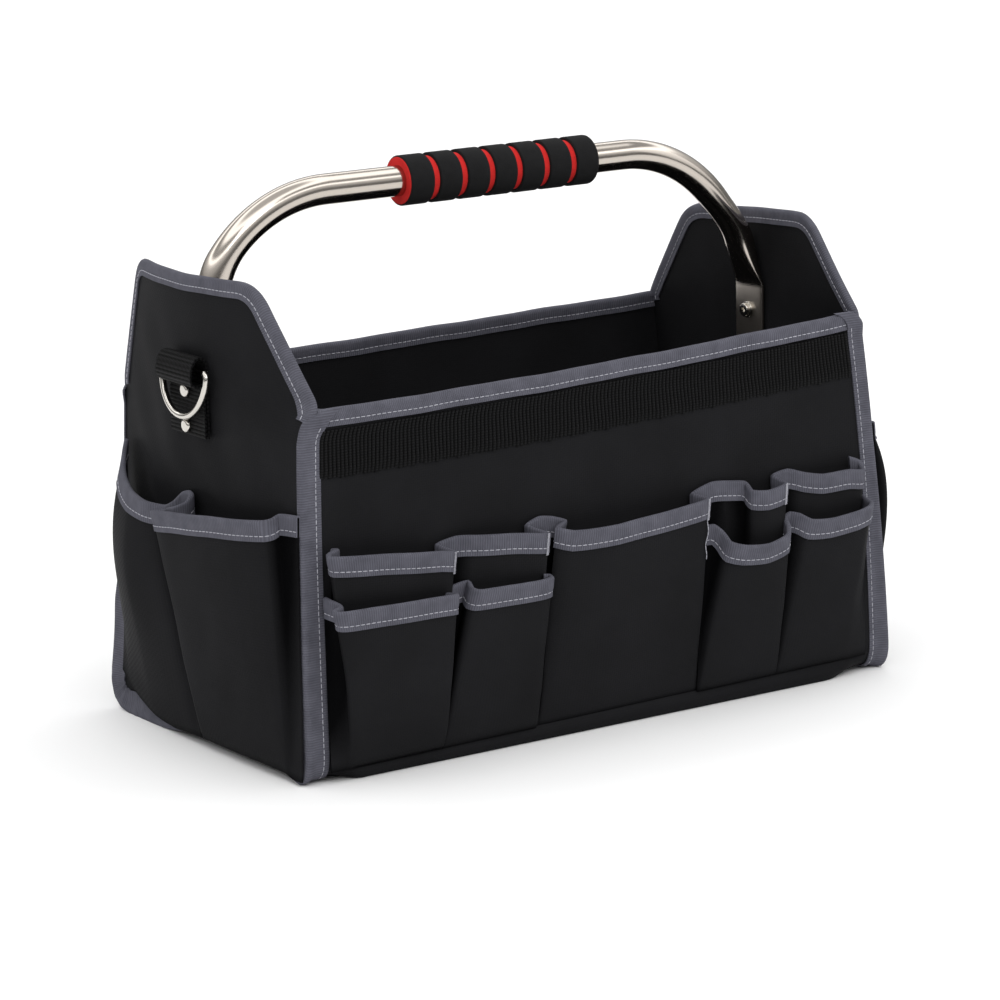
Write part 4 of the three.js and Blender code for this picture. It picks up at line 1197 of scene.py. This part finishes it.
# The tube stands slightly to the left of the bag above its legs
HANDLE_SWAY = 5
SWAY_RISE = 32
CRIMP_POWER = 1.4


def flattened(x, y, z):
    """Where a point of the round tube goes when its leg is pressed flat."""
    centre_z = HANDLE_HEIGHT - BEND_RADIUS
    if z > centre_z:
        turn = math.atan2(x - BEND_START, z - centre_z) if x > BEND_START else 0
        outward = math.hypot(x - BEND_START, z - centre_z) - BEND_RADIUS if x > BEND_START else 0
        height = centre_z + BEND_RADIUS * math.cos(turn)
    else:
        turn, outward, height = math.pi / 2, x - BEND_START - BEND_RADIUS, z
    flat = ramp(height, CRIMP_TOP, CRIMP_FOOT) ** CRIMP_POWER
    if flat == 0:
        return x, y, z
    rise = ramp(z, LEG_FOOT, LEG_FOOT + LEG_HALF_WIDTH)
    narrow = max(LEG_TIP, math.sqrt(1 - (1 - rise) ** 2))
    power = lerp(1, LEG_SQUARENESS, flat)
    spread = lambda v: math.copysign(min(abs(v) / TUBE_RADIUS, 1) ** power, v)
    aside = lerp(TUBE_RADIUS, LEG_HALF_WIDTH, flat) * narrow * spread(y - HANDLE_Y)
    shift = flat ** 2 * (END_MIDDLE - CLOTH - LEG_GAP - LEG_HALF_THICK - BEND_START - BEND_RADIUS)
    thick = shift + lerp(TUBE_RADIUS, LEG_HALF_THICK, flat) * spread(outward)
    away = BEND_RADIUS + thick
    if z > centre_z:
        return BEND_START + away * math.sin(turn), HANDLE_Y + aside, centre_z + away * math.cos(turn)
    return BEND_START + away, HANDLE_Y + aside, z


def handle_tube():
    wire_start(TUBE_RADIUS, TUBE_SIDES, place_mm(0, HANDLE_Y, HANDLE_HEIGHT), ALONG_X)
    bpy.ops.mesh.extrude_region_move(TRANSFORM_OT_translate={"value": place_mm(BEND_START, 0, 0)})
    bpy.ops.mesh.spin(steps=BEND_STEPS, angle=-math.pi / 2, axis=(0, 1, 0),
                      center=place_mm(BEND_START, HANDLE_Y, HANDLE_HEIGHT - BEND_RADIUS))
    drop = (HANDLE_HEIGHT - BEND_RADIUS - LEG_FOOT) / LEG_EXTRUDES
    for _ in range(LEG_EXTRUDES):
        bpy.ops.mesh.extrude_region_move(TRANSFORM_OT_translate={"value": place_mm(0, 0, -drop)})
    bpy.ops.mesh.edge_face_add()
    tube = done("handle_tube_bright")
    for vertex in tube.data.vertices:
        vertex.co = place_mm(*flattened(*(vertex.co / MM)))
    tube = other_half(tube, "X", merge=0.01)
    for vertex in tube.data.vertices:
        vertex.co.x -= HANDLE_SWAY * MM * ease(vertex.co.z / MM, CRIMP_TOP, CRIMP_TOP + SWAY_RISE)
    smooth(tube, 35)
    dress(tube, TUBE_STEEL, ["handle_tube"])


handle_tube()


# Foam grip: a red core with black rings. Pairs are the roundings at a sleeve's start and end
FOAM_SIDES = 72
FOAM_ROUND_STEPS = 5
RIM_BAND = 0.05
LIP_ROUNDS, CORE_ROUNDS = (0.4, 0.1), (0.5, 0.5)
RING_ROUNDS, LAST_ROUNDS = (0.9, 0.9), (0.9, 1.7)


def foam_sleeve(name, start, end, inner, outer, rounds):
    """A sleeve along the grip, its outer edges rounded by rounds at its start and end."""
    middle = GRIP_SHIFT + (start + end) / 2
    cylinder_start(outer, end - start, FOAM_SIDES, middle, HANDLE_HEIGHT)
    pick("faces", lambda face: abs(face.normal.x) > 0.9)
    bpy.ops.mesh.inset(thickness=(outer - inner) * MM)
    bpy.ops.mesh.delete(type="FACE")
    pick("edges", lambda edge: edge.is_boundary)
    bpy.ops.mesh.bridge_edge_loops()
    axis = place_mm(0, HANDLE_Y, HANDLE_HEIGHT)
    outermost = (outer - RIM_BAND) * MM
    for side, amount in zip((-1, 1), rounds):
        rim = (middle + side * (end - start) / 2) * MM
        on_rim = lambda v: abs(v.co.x - rim) < TOUCH and (v.co.yz - axis.yz).length > outermost
        pick("edges", lambda edge: all(on_rim(v) for v in edge.verts))
        bpy.ops.mesh.bevel(offset=amount * MM, segments=FOAM_ROUND_STEPS)
    sleeve = done(name)
    smooth(sleeve)
    return sleeve


def grip():
    half = GRIP_LENGTH / 2
    bore = TUBE_RADIUS + FOAM_FIT
    lip = foam_sleeve("lip", -half, GRIP_LIP - half, bore, GRIP_RADIUS - GRIP_RIM, LIP_ROUNDS)
    core = foam_sleeve("grip_core_foam", GRIP_LIP / 2 - half, half, bore, GRIP_CORE_RADIUS, CORE_ROUNDS)
    lip.select_set(True)
    bpy.ops.object.join()
    dress(core, RED_FOAM, ["grip_core"])
    middle_ring = (GRIP_LENGTH - GRIP_LIP - 2 * END_RING - (GRIP_RINGS - 1) * GROOVE) / (GRIP_RINGS - 2)
    start = GRIP_LIP - half
    for i in range(1, GRIP_RINGS + 1):
        width = END_RING if i in (1, GRIP_RINGS) else middle_ring
        rounds = LAST_ROUNDS if i == GRIP_RINGS else RING_ROUNDS
        face = start - GRIP_LIP / 2 if i == 1 else start
        ring = foam_sleeve(f"grip_ring_{i}_foam", face, start + width, GRIP_CORE_RADIUS, GRIP_RADIUS, rounds)
        dress(ring, BLACK_FOAM, [f"grip_ring_{i}"])
        start += width + GROOVE


grip()


# Bolts: a domed head outside, and a washer and socket head inside
BOLT_SIDES = 40
BOLT_ROUND_STEPS = 5


def disc(x, z, radius, thick, rounds, sides=BOLT_SIDES):
    """A round plate across X from x to x + thick, with both rims rounded."""
    cylinder_start(radius, thick, sides, x + thick / 2, z)
    for side, amount in zip((-1, 1), rounds):
        if amount:
            rim = (x + thick / 2 + side * thick / 2) * MM
            pick("edges", lambda edge: all(abs(v.co.x - rim) < TOUCH for v in edge.verts))
            bpy.ops.mesh.bevel(offset=amount * MM, segments=BOLT_ROUND_STEPS)
    return done("disc")


def bolt(name, z):
    leg_inner = END_MIDDLE - CLOTH - LEG_GAP - 2 * LEG_HALF_THICK
    head_face = leg_inner - WASHER_THICK - HEAD_HEIGHT
    strap_face = END_MIDDLE + STRAP_OUTER + STRAP_THICK / 2
    head = disc(head_face, z, HEAD_RADIUS, HEAD_HEIGHT, (HEAD_ROUND, 0))
    hexagon = disc(head_face - SOCKET_DEPTH, z, SOCKET_RADIUS, 2 * SOCKET_DEPTH, (0, 0), sides=6)
    cutter = head.modifiers.new("hex socket", "BOOLEAN")
    cutter.object = hexagon
    bpy.context.view_layer.objects.active = head
    bpy.ops.object.modifier_apply(modifier=cutter.name)
    bpy.data.objects.remove(hexagon)
    washer = disc(leg_inner - WASHER_THICK, z, WASHER_RADIUS, WASHER_THICK, (WASHER_ROUND, 0))
    dome = disc(strap_face, z, HEAD_RADIUS, HEAD_HEIGHT, (0, DOME_ROUND))
    fresh()
    for obj in (head, washer, dome):
        obj.select_set(True)
    bpy.context.view_layer.objects.active = head
    bpy.ops.object.join()
    made = done(name)
    smooth(made, 30)
    return made


def mirrored(obj, name):
    """A copy of a piece on the other end, with its own mesh."""
    mesh = obj.data.copy()
    mesh.transform(Matrix.Scale(-1, 4, (1, 0, 0)))
    mesh.flip_normals()
    copy = bpy.data.objects.new(name, mesh)
    bpy.context.scene.collection.objects.link(copy)
    return copy


for level, height in BOLTS.items():
    right = bolt(f"bolt_right_{level}", height)
    left = mirrored(right, f"bolt_left_{level}")
    for obj, side in ((right, "right"), (left, "left")):
        dress(obj, NICKEL, [f"handle_bolt_{side}_{level}"])


# D-rings: round wire with a straight bar and a bow below it
WIRE_SIDES = 20
CORNER_STEPS, BOW_STEPS = 10, 28


def d_ring():
    straight = RING_HALF_WIDTH - RING_CORNER
    x = END_MIDDLE + RING_BAR_OUT
    wire_start(RING_WIRE, WIRE_SIDES, place_mm(x, 0, RING_BAR_Z), ALONG_Y)
    bpy.ops.mesh.extrude_region_move(TRANSFORM_OT_translate={"value": place_mm(0, straight, 0)})
    bpy.ops.mesh.spin(steps=CORNER_STEPS, angle=math.pi / 2, axis=(1, 0, 0),
                      center=place_mm(x, straight, RING_BAR_Z - RING_CORNER))
    bpy.ops.mesh.spin(steps=BOW_STEPS, angle=math.pi / 2, axis=(1, 0, 0),
                      center=place_mm(x, 0, RING_BAR_Z - RING_CORNER))
    ring = other_half(done("ring_right_bright"), "Y", merge=0.05, weld=0.02)
    bow = (RING_BAR_Z - RING_CORNER) * MM
    for vertex in ring.data.vertices:
        if vertex.co.z < bow:
            vertex.co.z = bow + (vertex.co.z - bow) * RING_DROP / RING_HALF_WIDTH
    bar = place_mm(x, 0, RING_BAR_Z)
    lean = Matrix.Translation(place_mm(0, HANDLE_Y, 0) + bar) @ Matrix.Rotation(-RING_TILT, 4, "Y")
    ring.data.transform(lean @ Matrix.Translation(-bar))
    smooth(ring, 60)
    return ring


ring_right = d_ring()
ring_left = mirrored(ring_right, "ring_left_bright")
dress(ring_right, NICKEL, ["d_ring_right"], "ring_right")
dress(ring_left, NICKEL, ["d_ring_left"], "ring_left")


# Floor, light and camera
FLOOR_SIZE = 60


def floor_plane():
    fresh()
    bpy.ops.mesh.primitive_plane_add(size=FLOOR_SIZE)
    floor = done("floor")
    material, _, _ = new_material(
        "pale_floor", base_color=srgb("#f7f7f7"), roughness=0.9, specular_ior_level=0.1)
    floor.data.materials.append(material)


# Each soft light: name, place, what it faces, its size and its power
LIGHTS = [
    ("key", (-0.4, -2.0, 2.2), (0, 0, 0.15), 1.2, 10),
    ("fill", (2.2, -1.4, 1.3), (0, 0, 0.15), 1.4, 5),
]
# The studio's brightness, and its share from level with the floor to overhead, with a dim band between lamps
SKY_STRENGTH = 1.6
SKY_STOPS = [(0.15, 0.14), (0.4, 0.45), (0.5, 0.7), (0.57, 1.6), (0.62, 1.6), (0.68, 0.3), (0.78, 0.3),
             (0.84, 1.5), (0.9, 1.5), (0.96, 0.5)]


def studio():
    for name, spot, aim, size, power in LIGHTS:
        data = bpy.data.lights.new(name, "AREA")
        data.shape, data.size, data.energy = "SQUARE", size, power
        light = bpy.data.objects.new(name, data)
        light.location = spot
        light.rotation_euler = (Vector(aim) - Vector(spot)).to_track_quat("-Z", "Y").to_euler()
        bpy.context.scene.collection.objects.link(light)
    world = bpy.data.worlds.new("studio")
    bpy.context.scene.world = world
    world.use_nodes = True
    tree = world.node_tree
    ways = node(tree, "ShaderNodeSeparateXYZ", {0: node(tree, "ShaderNodeTexCoord").outputs["Generated"]})
    sky = node(tree, "ShaderNodeValToRGB", {0: ways.outputs["Z"]})
    bands = sky.color_ramp
    bands.interpolation = "EASE"
    while len(bands.elements) < len(SKY_STOPS):
        bands.elements.new(1)
    for element, (place, share) in zip(bands.elements, SKY_STOPS):
        element.position = place
        element.color = (share, share, share, 1)
    tree.nodes["Background"].inputs["Strength"].default_value = SKY_STRENGTH
    tree.links.new(sky.outputs[0], tree.nodes["Background"].inputs["Color"])


# The photograph's viewing angle: place, turn, tilt and roll of the camera, and its lens
CAMERA_PLACE = (-1361.28, -2058.53, 682.75)
AZIMUTH, ELEVATION, ROLL = (math.radians(v) for v in (-33.59, 12.79, -1.22))
LENS = 144.714


def camera():
    back = Vector((math.sin(AZIMUTH) * math.cos(ELEVATION), -math.cos(AZIMUTH) * math.cos(ELEVATION),
                   math.sin(ELEVATION)))
    right = (-back).cross(Vector((0, 0, 1))).normalized()
    up = right.cross(-back)
    turn_right = right * math.cos(ROLL) + up * math.sin(ROLL)
    turn_up = up * math.cos(ROLL) - right * math.sin(ROLL)
    data = bpy.data.cameras.new("camera")
    data.sensor_width, data.lens = 36, LENS
    data.clip_start, data.clip_end = 0.05, 100
    made = bpy.data.objects.new("camera", data)
    axes = Matrix((turn_right, turn_up, back)).transposed()
    made.matrix_world = Matrix.Translation(place_mm(*CAMERA_PLACE)) @ axes.to_4x4()
    bpy.context.scene.collection.objects.link(made)
    bpy.context.scene.camera = made


floor_plane()
studio()
camera()
bpy.context.scene.view_settings.view_transform = "Standard"

bpy.context.view_layer.update()
